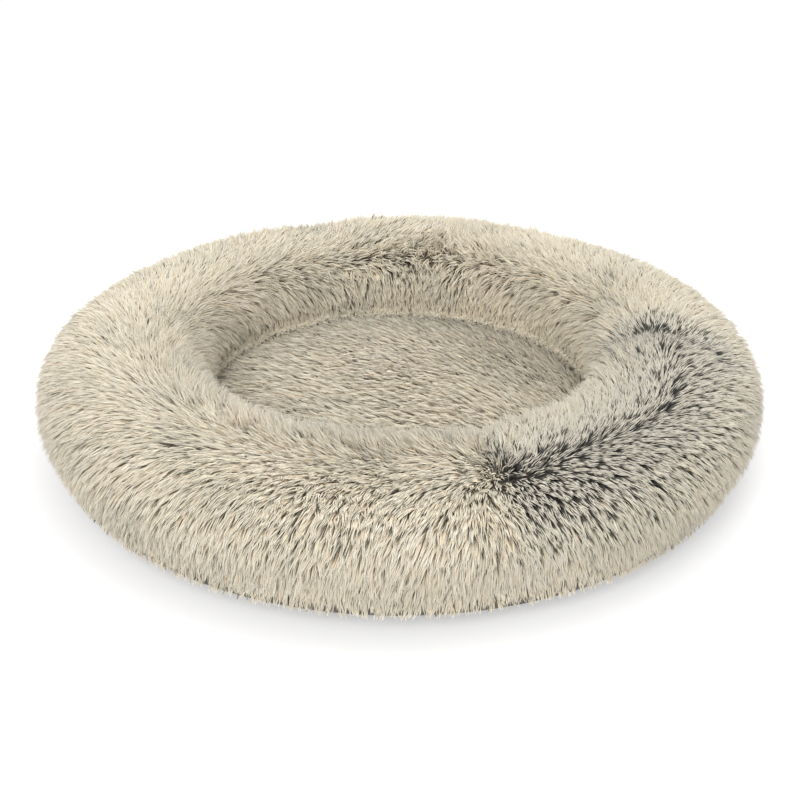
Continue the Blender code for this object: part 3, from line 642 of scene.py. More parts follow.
def lean_on_ring(turn, angle):
    """The cloth's normal, the vector by which the pile leans over, and the cloth's two directions."""
    normal, along_turn, along_angle = frame_on(ring_point, turn, angle)
    shift, middle, width = FRONT_SHIFT
    turned = turn + 0.10 * waves(angle, turn, (3, 1.5, 0.4), (7, -2, 1.9), (11, 3, 4.0))
    turned = turned - shift * bump_at(angle, middle, width) * smooth_step(turn, 0.3, 0.9)
    outward = falling_out(turned, angle)
    lean = along_angle * lying_round(turn, turned, angle)[:, None] - along_turn * outward[:, None]
    return normal, lean, (along_turn, along_angle)


def parting_turn(angle):
    """Where the open parting runs over the crest of the right panel."""
    degrees = np.degrees(off_from(angle, 0))
    return np.radians(np.interp(degrees, (-70, -57, -45, -33, -20, -7), (64, 74, 82, 87, 95, 110)))


def crease_angle(turn):
    """Where the right side's crease crosses the ring."""
    return np.radians(np.interp(np.degrees(turn), (66, 86, 105, 129, 158), (-14.5, -9, -4, -7.5, -9)))


def open_parting(angle):
    """1 where the pile falls open to both sides of a line, and 0 where it turns over smoothly."""
    off = off_from(angle, RADIAL_SEAM)
    return smooth_step(off, -0.08, 0.08) * (1 - smooth_step(off, 1.05, 1.35))


def over_crest(turn):
    """1 over the crest, where the crease runs, and 0 low on both sides."""
    return smooth_step(turn, 0.9, 1.3) * (1 - smooth_step(turn, 2.7, 3.0))


def parting_painted_shade(turn, angle):
    """How near a root is to the parting, the crease at its far end and the front seam, where black roots are
    gathered, partly as painted shade.
    """
    along = open_parting(angle) * bell(turn, parting_turn(angle), 0.46)
    crease = bump_at(angle, crease_angle(turn), 0.075) * over_crest(turn)
    seam = bump_at(angle, RADIAL_SEAM, 0.025) * smooth_step(turn, -0.2, 0.3)
    seam = seam * (1 - smooth_step(turn, 1.7, 2.4))
    return np.clip(along + crease + 0.4 * seam, 0, 1)


def smoky_and_painted_shade_share(turn, angle):
    """How much of the pile has smoky roots: most along the partings, crease and seam, where they are partly
    painted shade, and flecks elsewhere.
    """
    flecks = np.clip(waves(angle, turn, (23, 9, 0.7), (31, -13, 1.3), (12, 17, 2.9)) - 0.35, 0, 1)
    slope = open_parting(angle) * smooth_step(turn, -0.1, 0.6) * (1 - 0.45 * smooth_step(turn, 1.6, 2.0))
    return np.clip(0.05 + 0.98 * parting_painted_shade(turn, angle) + 0.50 * slope + 0.15 * flecks, 0, 0.98)


# %% Grow the ring's pile
PILE_PIECES = 8
LOCKS_EACH = 18500
LOCKS_PER_CLUMP = 5
CLING = 0.6
PILE_LENGTH = 0.0261
LOCK_WIDTH = 0.00145
WIDTH_VARIES = 0.18
LOCK_TWIST = math.radians(25)
PAST_HEM = 0.004
PILE_CLEAR_OF_ZIP = 0.3515
OFF_THE_FLOOR = 0.0012
ZIP_MIDDLE = math.radians(73)
ZIP_REACH = math.radians(40)
TUCKED_ROOM = 0.0045
LOOSE_ROOM = 0.025
section_turns = np.linspace(HEM_TURN, 1.0, 60)
section = ring_point(section_turns, np.zeros_like(section_turns))
section_lengths = np.concatenate([[0], np.cumsum(np.linalg.norm(np.diff(section, axis=0), axis=1))])
section_across, section_up = section[:, 0] - RING_RADIUS, section[:, 2] - INSIDE[2]
section_bearings = np.arctan2(section_up, section_across)
section_reach = np.hypot(section_across, section_up) + draw_in(section_turns, 0.0)


def over_the_zip(turn, angle):
    """Whether a root's lock could hang down to the zip's slider and pull."""
    return (turn < 0.5) & (np.abs(off_from(angle, ZIP_MIDDLE)) < ZIP_REACH)


def room_below(turn):
    """The length of cloth between a root and the hem, past which its lock may not hang."""
    return np.where(turn < 1.0, np.interp(turn, section_turns, section_lengths), 1.0)


def tucked_under(path):
    """Holds the lowest locks close to the cloth, where the bed's own weight presses them."""
    angle = np.arctan2(path[..., 1], path[..., 0])
    across = np.hypot(path[..., 0], path[..., 1]) - RING_RADIUS
    up = path[..., 2] - INSIDE[2]
    bearing = np.arctan2(up, across)
    cloth_turn = np.interp(bearing, section_bearings, section_turns)
    cloth = np.interp(bearing, section_bearings, section_reach) - draw_in(cloth_turn, angle)
    reach = np.hypot(across, up)
    room = TUCKED_ROOM + LOOSE_ROOM * smooth_step(cloth_turn, -0.95, 0.25)
    off = reach - cloth
    held = np.where(off > room, room + 0.25 * (off - room), off)
    share = np.where(cloth_turn < 0.3, (cloth + held) / reach, 1)
    return round_the_axis(RING_RADIUS + across * share, INSIDE[2] + up * share, angle)


def pile_habit(turn, angle):
    """How spiky the pile stands at each root, its share of the full length, and its two leans."""
    spiky = bell(turn, 2.2, 0.4)
    under = 1 - smooth_step(turn, HEM_TURN, 0.3)
    flat = bell(turn, 1.25, 0.55) * (1 - 0.8 * open_parting(angle))
    reach = 1 - 0.36 * under - 0.06 * bell(turn, 1.6, 0.5) + 0.24 * bell(turn, 2.4, 0.4)
    lean_root = 0.50 - 0.25 * spiky + 0.8 * under + 0.5 * flat
    lean_tip = 1.70 - 0.80 * spiky + 1.6 * under + 1.8 * flat
    return spiky, reach, lean_root, lean_tip


def ring_curves(turn, angle, root, own, shared):
    """The curves of the ring's locks, with the cloth's normal and the lean at their roots."""
    spiky, reach, lean_root, lean_tip = pile_habit(turn, angle)
    normal, lean, directions = lean_on_ring(turn, angle)
    for k, direction in enumerate(directions):
        scatter = (0.16 * shared[k] + 0.14 * own[k]) * (1 + 0.9 * spiky)
        lean = lean + direction * scatter[:, None]
    length = PILE_LENGTH * (1 + 0.06 * shared[2] + 0.05 * own[2]) * reach
    length = np.minimum(length, PAST_HEM + room_below(turn))
    bend = 0.08 * shared[3] + 0.10 * own[3]
    path = grow(root, normal, lean, length, lean_root, lean_tip, 0.10 * (1 - spiky), bend)
    return path, normal, lean


def kept_clear(path, turn, angle, own):
    """Tucks the lowest pile under the bed, and keeps it off the floor and the zip."""
    near_zip = over_the_zip(turn, angle)[:, None]
    path = np.where(near_zip[..., None], path, tucked_under(path))
    path[..., 2] = np.maximum(path[..., 2], OFF_THE_FLOOR + 0.0006 * own[4][:, None] ** 2)
    reach = np.hypot(path[..., 0], path[..., 1])
    clear = np.maximum(1, PILE_CLEAR_OF_ZIP / reach)
    path[..., :2] *= np.where(near_zip, clear, 1)[..., None]
    return path


def ring_columns(turn, angle, own, shared):
    """Each lock's column of colour: patches of plain tones, and smoky ones, darkest at the partings, where
    they are partly painted shade.
    """
    patch = 0.62 + 0.24 * waves(angle, turn, (4, 1, 1.0), (9, 4, 0.2), (15, -6, 2.5))
    variety = 0.24 - 0.06 * smooth_step(turn, 0.6, 1.4)
    tone = np.clip(patch + 0.10 * shared[4] + variety * own[5], PLAIN_FROM, LAST_TONE)
    smoky_and_shaded_lock = random.random(len(turn)) < smoky_and_painted_shade_share(turn, angle)
    # Painted shade: smoky locks are darker the nearer they are to the parting, crease and seam.
    paler = 0.13 * (1 - parting_painted_shade(turn, angle))
    tone = np.where(smoky_and_shaded_lock, paler + random.random(len(turn)) * (SMOKY_AND_PAINTED_SHADE_TO - paler), tone)
    return np.floor(tone * COLOUR_COLUMNS)


def grow_ring_piece(index):
    """The pile of one eighth of the ring: the first four are the right panel's."""
    first = RADIAL_SEAM + index * math.tau / PILE_PIECES
    turn, angle = spread_on_ring(LOCKS_EACH, first, first + math.tau / PILE_PIECES)
    turn = turn + random.normal(0, 0.012, LOCKS_EACH)
    angle = angle + random.normal(0, 0.003, LOCKS_EACH)
    root = ring_point(turn, angle)
    clumps = LOCKS_EACH // LOCKS_PER_CLUMP
    clump = nearest(root, root[:clumps])
    own = np.clip(random.normal(0, 1, (6, LOCKS_EACH)), -2, 2)
    shared = np.clip(random.normal(0, 1, (6, clumps)), -2, 2)[:, clump]
    path, normal, lean = ring_curves(turn, angle, root, own, shared)
    path = kept_clear(gathered(path, clump, clumps, CLING), turn, angle, own)
    width = LOCK_WIDTH * (1 + WIDTH_VARIES * own[1])
    column = ring_columns(turn, angle, own, shared)
    side, number = divmod(index, PILE_PIECES // 2)
    name = f"rim_pile_{('right', 'left')[side]}_{number + 1}"
    sideways = unit(np.cross(normal, lean))
    mesh = locks_mesh(name, path, sideways, width, LOCK_TWIST * own[2], column, normal)
    return finished(name, mesh, pile_paint, "plush_pile")


ring_pile = [grow_ring_piece(i) for i in range(PILE_PIECES)]
print("ring pile:", sum(len(p.data.polygons) for p in ring_pile), "faces")

# %% [markdown]
# ## The sleeping pad's pile
# The pad is covered in the same plush, cut a little shorter and laid to the left and a little forward.
# Its roots stand on a crowned disc that falls away at the seam, where the ring's pile hangs over it.

# %% Describe the pad
SLEEP_RADIUS = 0.2114
PAD_EDGE = 0.039
PAD_DOME = 0.033
SLEEP_PILE = 0.012
HOLLOW = 0.0035
PAD_DROP = 0.002


def pad_height(share):
    """The height of the pad's full pile at this share of its radius."""
    return PAD_EDGE + PAD_DOME * (1 - np.clip(share, 0, 1) ** 3) ** 0.8


def pad_point(x, y, off=0.0):
    """A point of the pad's cloth, with the hollows that a sleeper leaves."""
    share = np.hypot(x, y) / SLEEP_RADIUS
    hollow = HOLLOW * waves(14 * x, 14 * y, (1.0, 0.6, 0.5), (-0.7, 1.3, 1.7), (2.1, 1.1, 0.2))
    edge = 1 - smooth_step(share, 0.75, 1.0)
    return np.stack([x, y, pad_height(share) - SLEEP_PILE + (hollow - PAD_DROP) * edge + off], -1)


# %% Grow the pad's pile
PAD_PIECES = 2
PAD_LOCKS_EACH = 13000
PAD_LOCKS_PER_CLUMP = 4
PAD_CLING = 0.55
PAD_PILE_LENGTH = 0.025
PAD_LOCK_WIDTH = 0.0015
PAD_LAY = math.radians(205)
PAD_SEAM_IN = 0.002
PAD_SMOKY_SHARE = 0.05


def grow_pad_piece(index):
    """The pile of one half of the pad, left or right."""
    count = PAD_LOCKS_EACH
    a, b = even_pairs(count)
    r = (SLEEP_RADIUS - PAD_SEAM_IN) * np.sqrt(a)
    angle = math.pi * (b + index) - math.pi / 2
    x, y = r * np.cos(angle), r * np.sin(angle)
    root = pad_point(x, y)
    normal = -frame_on(pad_point, x, y, 0.001)[0]
    heading = PAD_LAY + 0.55 * waves(x, y, (19, 8, 0.3), (-11, 23, 1.1), (31, 17, 2.0))
    lay = round_the_axis(1.0, 0.0, heading)
    lay = unit(lay - normal * (lay * normal).sum(-1, keepdims=True))
    clumps = count // PAD_LOCKS_PER_CLUMP
    clump = nearest(root, root[:clumps])
    own = random.normal(0, 1, (5, count))
    shared = random.normal(0, 1, (5, clumps))[:, clump]
    sideways = np.cross(lay, normal)
    lay = lay + sideways * (0.16 * shared[0] + 0.08 * own[0])[:, None]
    length = PAD_PILE_LENGTH * (1 + 0.08 * shared[1] + 0.05 * own[1])
    lean_root = 0.75 + 0.12 * shared[2] + 0.05 * own[2]
    lean_tip = 2.4 + 0.5 * shared[3] + 0.2 * own[3]
    bend = 0.08 * shared[0] + 0.10 * own[4]
    path = grow(root, normal, lay, length, lean_root, lean_tip, 0.08 + 0.03 * shared[4], bend)
    path = gathered(path, clump, clumps, PAD_CLING)
    width = PAD_LOCK_WIDTH * (1 + WIDTH_VARIES * own[1])
    patch = 0.70 + 0.18 * waves(x, y, (21, 13, 1.0), (-17, 29, 0.2))
    tone = np.clip(patch + 0.09 * shared[3] + 0.19 * own[3], PLAIN_FROM, LAST_TONE)
    tone = np.where(random.random(count) < PAD_SMOKY_SHARE, random.random(count) * SMOKY_AND_PAINTED_SHADE_TO, tone)
    column = np.floor(tone * COLOUR_COLUMNS)
    name = "sleep_pile_" + ("right", "left")[index]
    mesh = locks_mesh(name, path, sideways, width, LOCK_TWIST * own[2], column, normal)
    return finished(name, mesh, pile_paint, "sleep_pile")


pad_pile = [grow_pad_piece(i) for i in range(PAD_PIECES)]
print("pad pile:", sum(len(p.data.polygons) for p in pad_pile), "faces")

# %% [markdown]
# ## Cloth
# Woven cloth is threads that pass over and under each other, and tape is the same, woven finer.
# One node group draws a weave, and each cloth gives it its own thread count, colours and map.
# The map is in metres, so a thread has its real size on every piece.

# %% Build the weave group


def new_group(name, inputs, outputs):
    """A node group that takes a place and a number to scale it by, and the scaled place in it."""
    group = bpy.data.node_groups.new(name, "ShaderNodeTree")
    socket = group.interface.new_socket
    socket(name=inputs[0], in_out="INPUT", socket_type="NodeSocketVector")
    socket(name=inputs[1], in_out="INPUT", socket_type="NodeSocketFloat")
    for output in outputs:
        socket(name=output, in_out="OUTPUT", socket_type="NodeSocketFloat")
    given = group.nodes.new("NodeGroupInput").outputs
    scaled = node(group, "ShaderNodeVectorMath", {"operation": "SCALE"}, i0=given[0], Scale=given[1])
    return group, scaled.outputs[0]


def put_out(group, *values):
    """Joins these values to the group's outputs, in order."""
    out = group.nodes.new("NodeGroupOutput")
    for value, socket in zip(values, out.inputs):
        group.links.new(value, socket)
    return group


def weave_group():
    """Threads over and under each other: their height, and a shade that differs by thread."""
    group, scaled = new_group("weave", ("Map", "Threads"), ("Height", "Shade"))
    parts = node(group, "ShaderNodeSeparateXYZ", None, i0=scaled).outputs[:2]
    cell_x, cell_y = (maths(group, "FLOOR", part, 0) for part in parts)
    humps = [maths(group, "ABSOLUTE", maths(group, "SINE", maths(group, "MULTIPLY", part, math.pi)))
             for part in parts]
    over = maths(group, "PINGPONG", maths(group, "ADD", cell_x, cell_y), 1.0)
    thin = [maths(group, "POWER", hump, 0.5) for hump in humps]
    warp = maths(group, "MULTIPLY", humps[0], thin[1])
    weft = maths(group, "MULTIPLY", humps[1], thin[0])
    height = node(group, "ShaderNodeMix", {"data_type": "FLOAT"}, i0=over, i2=warp, i3=weft).outputs[0]
    thread = node(group, "ShaderNodeMix", {"data_type": "FLOAT"}, i0=over, i2=cell_y, i3=cell_x).outputs[0]
    picked = node(group, "ShaderNodeCombineXYZ", None, X=thread, Y=over)
    shade = node(group, "ShaderNodeTexWhiteNoise", {"noise_dimensions": "2D"}, Vector=picked.outputs[0])
    return put_out(group, height, shade.outputs[0])


weave = weave_group()
print("weave group:", len(weave.nodes), "nodes")

# %% Paint cloths
THREAD_RELIEF = 0.0003
PATCHES = 9.0


def cloth_material(name, threads, roughness, dark, light, uv_map="cloth"):
    """A woven cloth: threads that differ a little, painted shade in the low places between them, and worn and
    darker patches over it.
    """
    material, tree, shader = new_material(name, roughness, Sheen_Weight=0.12, Sheen_Roughness=0.5)
    place = node(tree, "ShaderNodeUVMap", {"uv_map": uv_map}).outputs[0] if uv_map else object_place(tree)
    height, shade = node(tree, "ShaderNodeGroup", {"node_tree": weave}, i0=place, i1=threads).outputs
    patches = noise(tree, place, PATCHES, 4.0)
    share = maths(tree, "MULTIPLY_ADD", shade, 0.5, maths(tree, "MULTIPLY", patches, 0.5))
    colour = mixed(tree, share, (*dark, 1), (*light, 1))
    # Painted shade: the colour is darkened where the weave is low, between the threads.
    painted_thread_shade = ramp(tree, height, (0.15, (0.5, 0.5, 0.5)), (0.7, (1, 1, 1)))
    colour = mixed(tree, 0.85, colour, painted_thread_shade, "MULTIPLY")
    tree.links.new(colour, shader.inputs["Base Color"])
    rough = maths(tree, "MULTIPLY_ADD", patches, 0.15, roughness - 0.08)
    tree.links.new(rough, shader.inputs["Roughness"])
    bump = node(tree, "ShaderNodeBump", None, Strength=0.6, Distance=THREAD_RELIEF, Height=height)
    tree.links.new(bump.outputs[0], shader.inputs["Normal"])
    return material


backing_paint = cloth_material("pile_backing", 900, 0.9, (0.16, 0.14, 0.12), (0.26, 0.23, 0.19))
base_paint = cloth_material("grip_cloth", 1100, 0.75, (0.22, 0.20, 0.18), (0.34, 0.31, 0.27), uv_map=None)
divider_paint = cloth_material("divider_cloth", 1300, 0.85, (0.62, 0.60, 0.55), (0.78, 0.76, 0.70))
liner_paint = cloth_material("liner_cloth", 1500, 0.8, (0.74, 0.74, 0.72), (0.86, 0.86, 0.84))
binding_paint = cloth_material("binding_tape", 1600, 0.8, (0.40, 0.37, 0.32), (0.52, 0.48, 0.42))
tape_paint = cloth_material("zip_tape_cloth", 2200, 0.8, (0.38, 0.35, 0.30), (0.50, 0.47, 0.41))
print("cloth paints share the weave group, which has", weave.users, "users")

# %% [markdown]
# ## Spun cloth
# Most cloth pieces here are a line across the cloth turned about the upright axis.
# Each corner keeps its distance across the cloth through the spin, which gives the map its second
# direction; the first is the way round. A Solidify modifier then gives the cloth its thickness.

# %% Spin cloth


def spun_cloth(name, profile, steps, first=0.0, last=math.tau, move=None, closed=False, turns=None):
    """Cloth from a profile of (r, z) turned from one angle to another, with a map in metres."""
    bm = bmesh.new()
    across = bm.verts.layers.float.new("across")
    turn_of = bm.verts.layers.float.new("turn")
    corners, travel = [], 0.0
    for i, (r, z) in enumerate(profile):
        if i:
            travel += math.dist(profile[i - 1], (r, z))
        corner = bm.verts.new((r * math.cos(first), r * math.sin(first), z))
        corner[across] = travel
        corner[turn_of] = turns[i] if turns is not None else 0
        corners.append(corner)
    pairs = list(zip(corners, corners[1:]))
    if closed:
        pairs.append((corners[-1], corners[0]))
    edges = [bm.edges.new(pair) for pair in pairs]
    whole = last - first > math.tau - 1e-6
    bmesh.ops.spin(bm, geom=corners + edges, cent=(0, 0, 0), axis=(0, 0, 1), angle=last - first,
                   steps=steps, use_merge=whole)
    bmesh.ops.remove_doubles(bm, verts=bm.verts, dist=1e-5)
    bmesh.ops.recalc_face_normals(bm, faces=bm.faces)
    radius = max(r for r, _ in profile)
    uv = bm.loops.layers.uv.new("cloth")
    for face in bm.faces:
        middle = face.calc_center_median()
        at = math.atan2(middle.y, middle.x)
        farthest = max(corner[across] for corner in face.verts)
        for loop in face.loops:
            x, y, _ = loop.vert.co
            off = math.remainder(math.atan2(y, x) - at, math.tau) if x * x + y * y > 1e-9 else 0.0
            v = loop.vert[across]
            if closed and farthest - v > travel / 2:
                v = travel + math.dist(profile[-1], profile[0])
            loop[uv].uv = ((at + off) * radius, v)
    if move:
        for vertex in bm.verts:
            vertex.co = move(vertex[turn_of], math.atan2(vertex.co.y, vertex.co.x))
    return mesh_of(bm, name)


def thicken(piece, thickness):
    """Gives a cloth its thickness, half to each side."""
    wall = piece.modifiers.new("cloth", "SOLIDIFY")
    wall.thickness = thickness
    wall.offset = 0


def area_of(piece):
    """The area of a piece's faces, in square metres."""
    return sum(face.area for face in piece.data.polygons)


# %% Make the ring's backing
BACKING_CLOTH = 0.001


def cover_backing(side, first, nodes):
    """The knitted cloth of one cover, from its hem over the crest to the inner seam."""
    turns = np.linspace(HEM_TURN, INNER_SEAM_TURN, 61)
    profile = [tuple(ring_point(t, 0.0)[[0, 2]]) for t in turns]
    mesh = spun_cloth(f"rim_backing_{side}", profile, 90, first, first + math.pi,
                      move=lambda turn, angle: ring_point(turn, angle, -BACKING_CLOTH / 2), turns=turns)
    piece = finished(f"rim_backing_{side}", mesh, backing_paint, "plush_pile", *nodes)
    thicken(piece, BACKING_CLOTH)
    return piece


rim_backing_right = cover_backing("right", RADIAL_SEAM, ["rim_cover_right"])
rim_backing_left = cover_backing("left", RADIAL_SEAM + math.pi, ["rim_cover_left"])
print("each cover's cloth:", round(area_of(rim_backing_left), 3), "square metres")

# %% Make the pad's backing
shares = np.linspace(0, 1, 25)
profile = [(SLEEP_RADIUS * s, float(pad_height(s)) - SLEEP_PILE) for s in shares]
mesh = spun_cloth("sleep_backing", profile, 96, turns=shares * SLEEP_RADIUS,
                  move=lambda r, angle: pad_point(r * math.cos(angle), r * math.sin(angle), -0.0006))
sleep_backing = finished("sleep_backing", mesh, backing_paint, "sleep_pile", "sleep_panel")
thicken(sleep_backing, BACKING_CLOTH)
print("pad's cloth:", round(area_of(sleep_backing), 3), "square metres")

# %% [markdown]
# ## Bags and fibre
# The pile covers come off two stuffed bags: a ring and a round pad, of thin plain cloth.
# Inside each, a mass of crimped fibre fills it unevenly, so its surface is soft and lumpy.
# Both follow the covers that are pulled over them, a cloth's thickness further in.

# %% Make the ring's bag and fibre
LINER_CLOTH = 0.0006
RING_BAG_IN = -0.0019
RING_FIBRE_IN = -0.0034
FIBRE_LUMP = 0.0008
FIBRE_LUMP_SIZE = 0.012


def bag_point(turn, angle, off):
    """A point of the ring's bag: the cover's form without its ends' reach to the seams."""
    r, z = section_point(turn, INSIDE)
    dr, dz = r - RING_RADIUS, z - INSIDE[2]
    turned = np.remainder(turn + math.pi / 2, math.tau) - math.pi / 2
    share = 1 + (off - draw_in(turned, angle)) / np.hypot(dr, dz)
    return round_the_axis(RING_RADIUS + dr * share, INSIDE[2] + dz * share, angle)


def lumps(place, size, seed):
    """A soft uneven pattern at each point, about -1 to 1."""
    x, y, z = (place[..., i] / size for i in range(3))
    return (np.sin(x + seed) * np.cos(1.3 * y - seed) + np.sin(2.1 * y + 0.7 * z + seed)
            + np.cos(1.7 * x - 1.9 * z)) / 3


turns = -np.linspace(0, math.tau, 48, endpoint=False) + math.pi / 2
profile = [tuple(bag_point(t, 0.0, RING_BAG_IN)[[0, 2]]) for t in turns]
mesh = spun_cloth("ring_bag", profile, 144, closed=True, turns=turns,
                  move=lambda turn, angle: bag_point(turn, angle, RING_BAG_IN))
ring_bag = finished("ring_bag", mesh, liner_paint, "liner_cloth", "bolster_liner")
thicken(ring_bag, LINER_CLOTH)


def ring_fibre_point(turn, angle):
    """A point of the ring's fibre: the bag's form, a little further in and lumpy."""
    place = bag_point(turn, angle, RING_FIBRE_IN)
    return bag_point(turn, angle, RING_FIBRE_IN + FIBRE_LUMP * float(lumps(place, FIBRE_LUMP_SIZE, 0.4)))


fibre_paint, tree, shader, tangle = speckled_material(
    "crimped_fibre", 0.9, 420.0, 5.0, (0.3, (0.66, 0.66, 0.64)), (0.6, (0.90, 0.90, 0.88)),
    {"Distortion": 2.5}, Sheen_Weight=0.3)
fluff = node(tree, "ShaderNodeBump", None, Strength=0.8, Distance=0.0012, Height=tangle)
tree.links.new(fluff.outputs[0], shader.inputs["Normal"])

profile = [tuple(bag_point(t, 0.0, RING_FIBRE_IN)[[0, 2]]) for t in turns]
mesh = spun_cloth("ring_fibre", profile, 180, closed=True, turns=turns, move=ring_fibre_point)
ring_fibre = finished("ring_fibre", mesh, fibre_paint, "fibre", "bolster_fill")
print("ring bag:", round(area_of(ring_bag), 3), "square metres")

# %% Make the pad's bag and fibre
BASE_CLOTH = 0.0015
PAD_RADIUS = 0.2207
PAD_FLOOR_GAP = 0.0004
PAD_SIDE_GAP = 0.0005
PAD_BULGE = 0.012


def pad_outline(inset, crown_drop):
    """The pad's section from its crown down its side to the middle of its underside."""
    low = BASE_CLOTH + PAD_FLOOR_GAP + inset
    side = PAD_RADIUS - PAD_SIDE_GAP - inset
    crown = [(SLEEP_RADIUS * s, float(pad_height(s)) - SLEEP_PILE - crown_drop - inset)
             for s in np.linspace(0, 0.97, 18)]
    end_z = crown[-1][1]
    middle, reach = (end_z + low) / 2, (end_z - low) / 2
    bulge = [(side - PAD_BULGE + PAD_BULGE * math.cos(a), middle + reach * math.sin(a))
             for a in np.linspace(math.pi / 2, -math.pi / 2, 9)]
    flat = [(side * s, low) for s in (0.9, 0.6, 0.3, 0)]
    return crown + bulge[1:] + flat


def pad_piece_mesh(name, inset, crown_drop, lump):
    """The pad's form, swollen and hollowed unevenly."""
    mesh = spun_cloth(name, pad_outline(inset, crown_drop), 96)
    for vertex in mesh.vertices:
        share = math.hypot(vertex.co.x, vertex.co.y) / SLEEP_RADIUS
        if vertex.co.z > 0.012 and share < 1:
            dressed = pad_point(vertex.co.x, vertex.co.y)[2] - (pad_height(share) - SLEEP_PILE)
            vertex.co.z += float(dressed)
        if vertex.co.z > 0.006:
            vertex.co.z += lump * float(lumps(np.array(vertex.co), 0.011, 1.3))
    return mesh


mesh = pad_piece_mesh("pad_bag", inset=0.0003, crown_drop=0.0012, lump=0.0)
pad_bag = finished("pad_bag", mesh, liner_paint, "liner_cloth", "pad_liner")
thicken(pad_bag, LINER_CLOTH)
mesh = pad_piece_mesh("pad_fibre", inset=0.0016, crown_drop=0.0018, lump=0.0005)
pad_fibre = finished("pad_fibre", mesh, fibre_paint, "fibre", "pad_fill")
print("pad bag:", round(area_of(pad_bag), 3), "square metres")

# %% [markdown]
# ## The underside
# A plain woven cloth closes the bed below: flat on the floor, and turned up under the ring.
# It is cut back along the zip. Small rubber dots on it keep the bed from sliding.

# %% Make the base cloth
ZIP_START = math.radians(44)
ZIP_LENGTH = 0.340
ZIP_RUNOUT = 0.0066
GRIP_DOT_HEIGHT = 0.0006
TURN_UP_RADIUS = 0.300
BASE_THICKNESS = BASE_CLOTH - GRIP_DOT_HEIGHT
zip_from = ZIP_START - ZIP_RUNOUT / ZIP_RADIUS
zip_to = ZIP_START + (ZIP_LENGTH + ZIP_RUNOUT) / ZIP_RADIUS


def underside(radii, depth):
    """Section points this deep inside the underside."""
    r, z, _ = under_skin(np.array(radii), depth)
    return list(zip(r.tolist(), z.tolist()))


MIDDLE_DEPTH = (BASE_CLOTH + GRIP_DOT_HEIGHT) / 2
radii = [*np.linspace(0, RING_RADIUS, 12), *np.linspace(TURN_UP_RADIUS, BASE_CUT, 7)]
inner = underside(radii, MIDDLE_DEPTH)
flap = underside([BASE_CUT, (BASE_CUT + BASE_EDGE) / 2, BASE_EDGE], MIDDLE_DEPTH)
bm = bmesh.new()
for mesh in (spun_cloth("inner", inner, 36, zip_from, zip_to),
             spun_cloth("rest", inner + flap[1:], 180, zip_to, zip_from + math.tau)):
    bm.from_mesh(mesh)
    bpy.data.meshes.remove(mesh)
bmesh.ops.remove_doubles(bm, verts=bm.verts, dist=1e-5)
bmesh.ops.recalc_face_normals(bm, faces=bm.faces)
base_cloth = finished("base_cloth", mesh_of(bm, "base_cloth"), base_paint, "base_cloth", "base_panel")
thicken(base_cloth, BASE_THICKNESS)
print("base cloth:", round(area_of(base_cloth), 4), "square metres")

# %% Add the rubber dots
DOT_SPACING = 0.020
DOT_RADIUS = 0.0021
DOTS_REACH = 0.285
DOT_SUNK = 0.0001

bm = bmesh.new()
bmesh.ops.create_cone(bm, cap_ends=True, segments=8, radius1=0.55, radius2=1, depth=1)
bmesh.ops.translate(bm, vec=(0, 0, 0.5), verts=bm.verts)
dot_corners, dot_faces = shape_of(bm)
rows = np.arange(-15, 16)
grid_x, grid_y = np.meshgrid(rows * DOT_SPACING, rows * DOT_SPACING * math.sqrt(0.75))
grid_x = grid_x + (rows[:, None] % 2) * DOT_SPACING / 2
keep = np.hypot(grid_x, grid_y) < DOTS_REACH
middles = np.stack([grid_x[keep], grid_y[keep], np.zeros(keep.sum())], -1)
scale = np.array([DOT_RADIUS, DOT_RADIUS, GRIP_DOT_HEIGHT + DOT_SUNK])
mesh = repeated("grip_dots", middles[:, None] + dot_corners[None] * scale, dot_faces)
dot_paint, tree, shader, scuff = speckled_material(
    "grip_rubber", 0.55, 900.0, 3.0, (0.3, (0.045, 0.043, 0.04)), (0.7, (0.11, 0.105, 0.10)))
tree.links.new(maths(tree, "MULTIPLY_ADD", scuff, 0.3, 0.4), shader.inputs["Roughness"])
grip_dots = finished("grip_dots", mesh, dot_paint, "base_cloth")
print("rubber dots:", len(middles))

# %% [markdown]
# ## Divider and bindings
# Inside, an upright wall of cloth keeps the pad's bag apart from the ring's.
# The inner seam's raw edges are bound with a folded tape, and the base seam's with a flat one.

# %% Make the divider and the bindings
DIVIDER_RADIUS = 0.2215
DIVIDER_LOW, DIVIDER_HIGH = 0.0020, 0.0322
DIVIDER_CLOTH = 0.0006
BINDING_CLOTH = 0.0005
BINDING_CORNER = 0.001
BASE_BINDING_INNER, BASE_BINDING_OUTER = 0.0068, 0.0050
BASE_BINDING_DEPTH = 0.0021
BINDING_CLEAR_OF_ZIP = 0.12

wall_profile = [(DIVIDER_RADIUS, z) for z in np.linspace(DIVIDER_LOW, DIVIDER_HIGH, 9)]
divider = finished("divider_cloth", spun_cloth("divider_cloth", wall_profile, 160), divider_paint,
                   "divider_cloth", "divider_wall")
thicken(divider, DIVIDER_CLOTH)

near, far, low, high = 0.2120, 0.2203, 0.0301, 0.0324
corner_r = near + BINDING_CORNER
fold = [(far, low), (corner_r, low), (near, (low + high) / 2), (corner_r, high), (far, high)]
inner_binding = finished("inner_binding", spun_cloth("inner_binding", fold, 180), binding_paint,
                         "binding_tape", "inner_seam_binding")
thicken(inner_binding, BINDING_CLOTH)

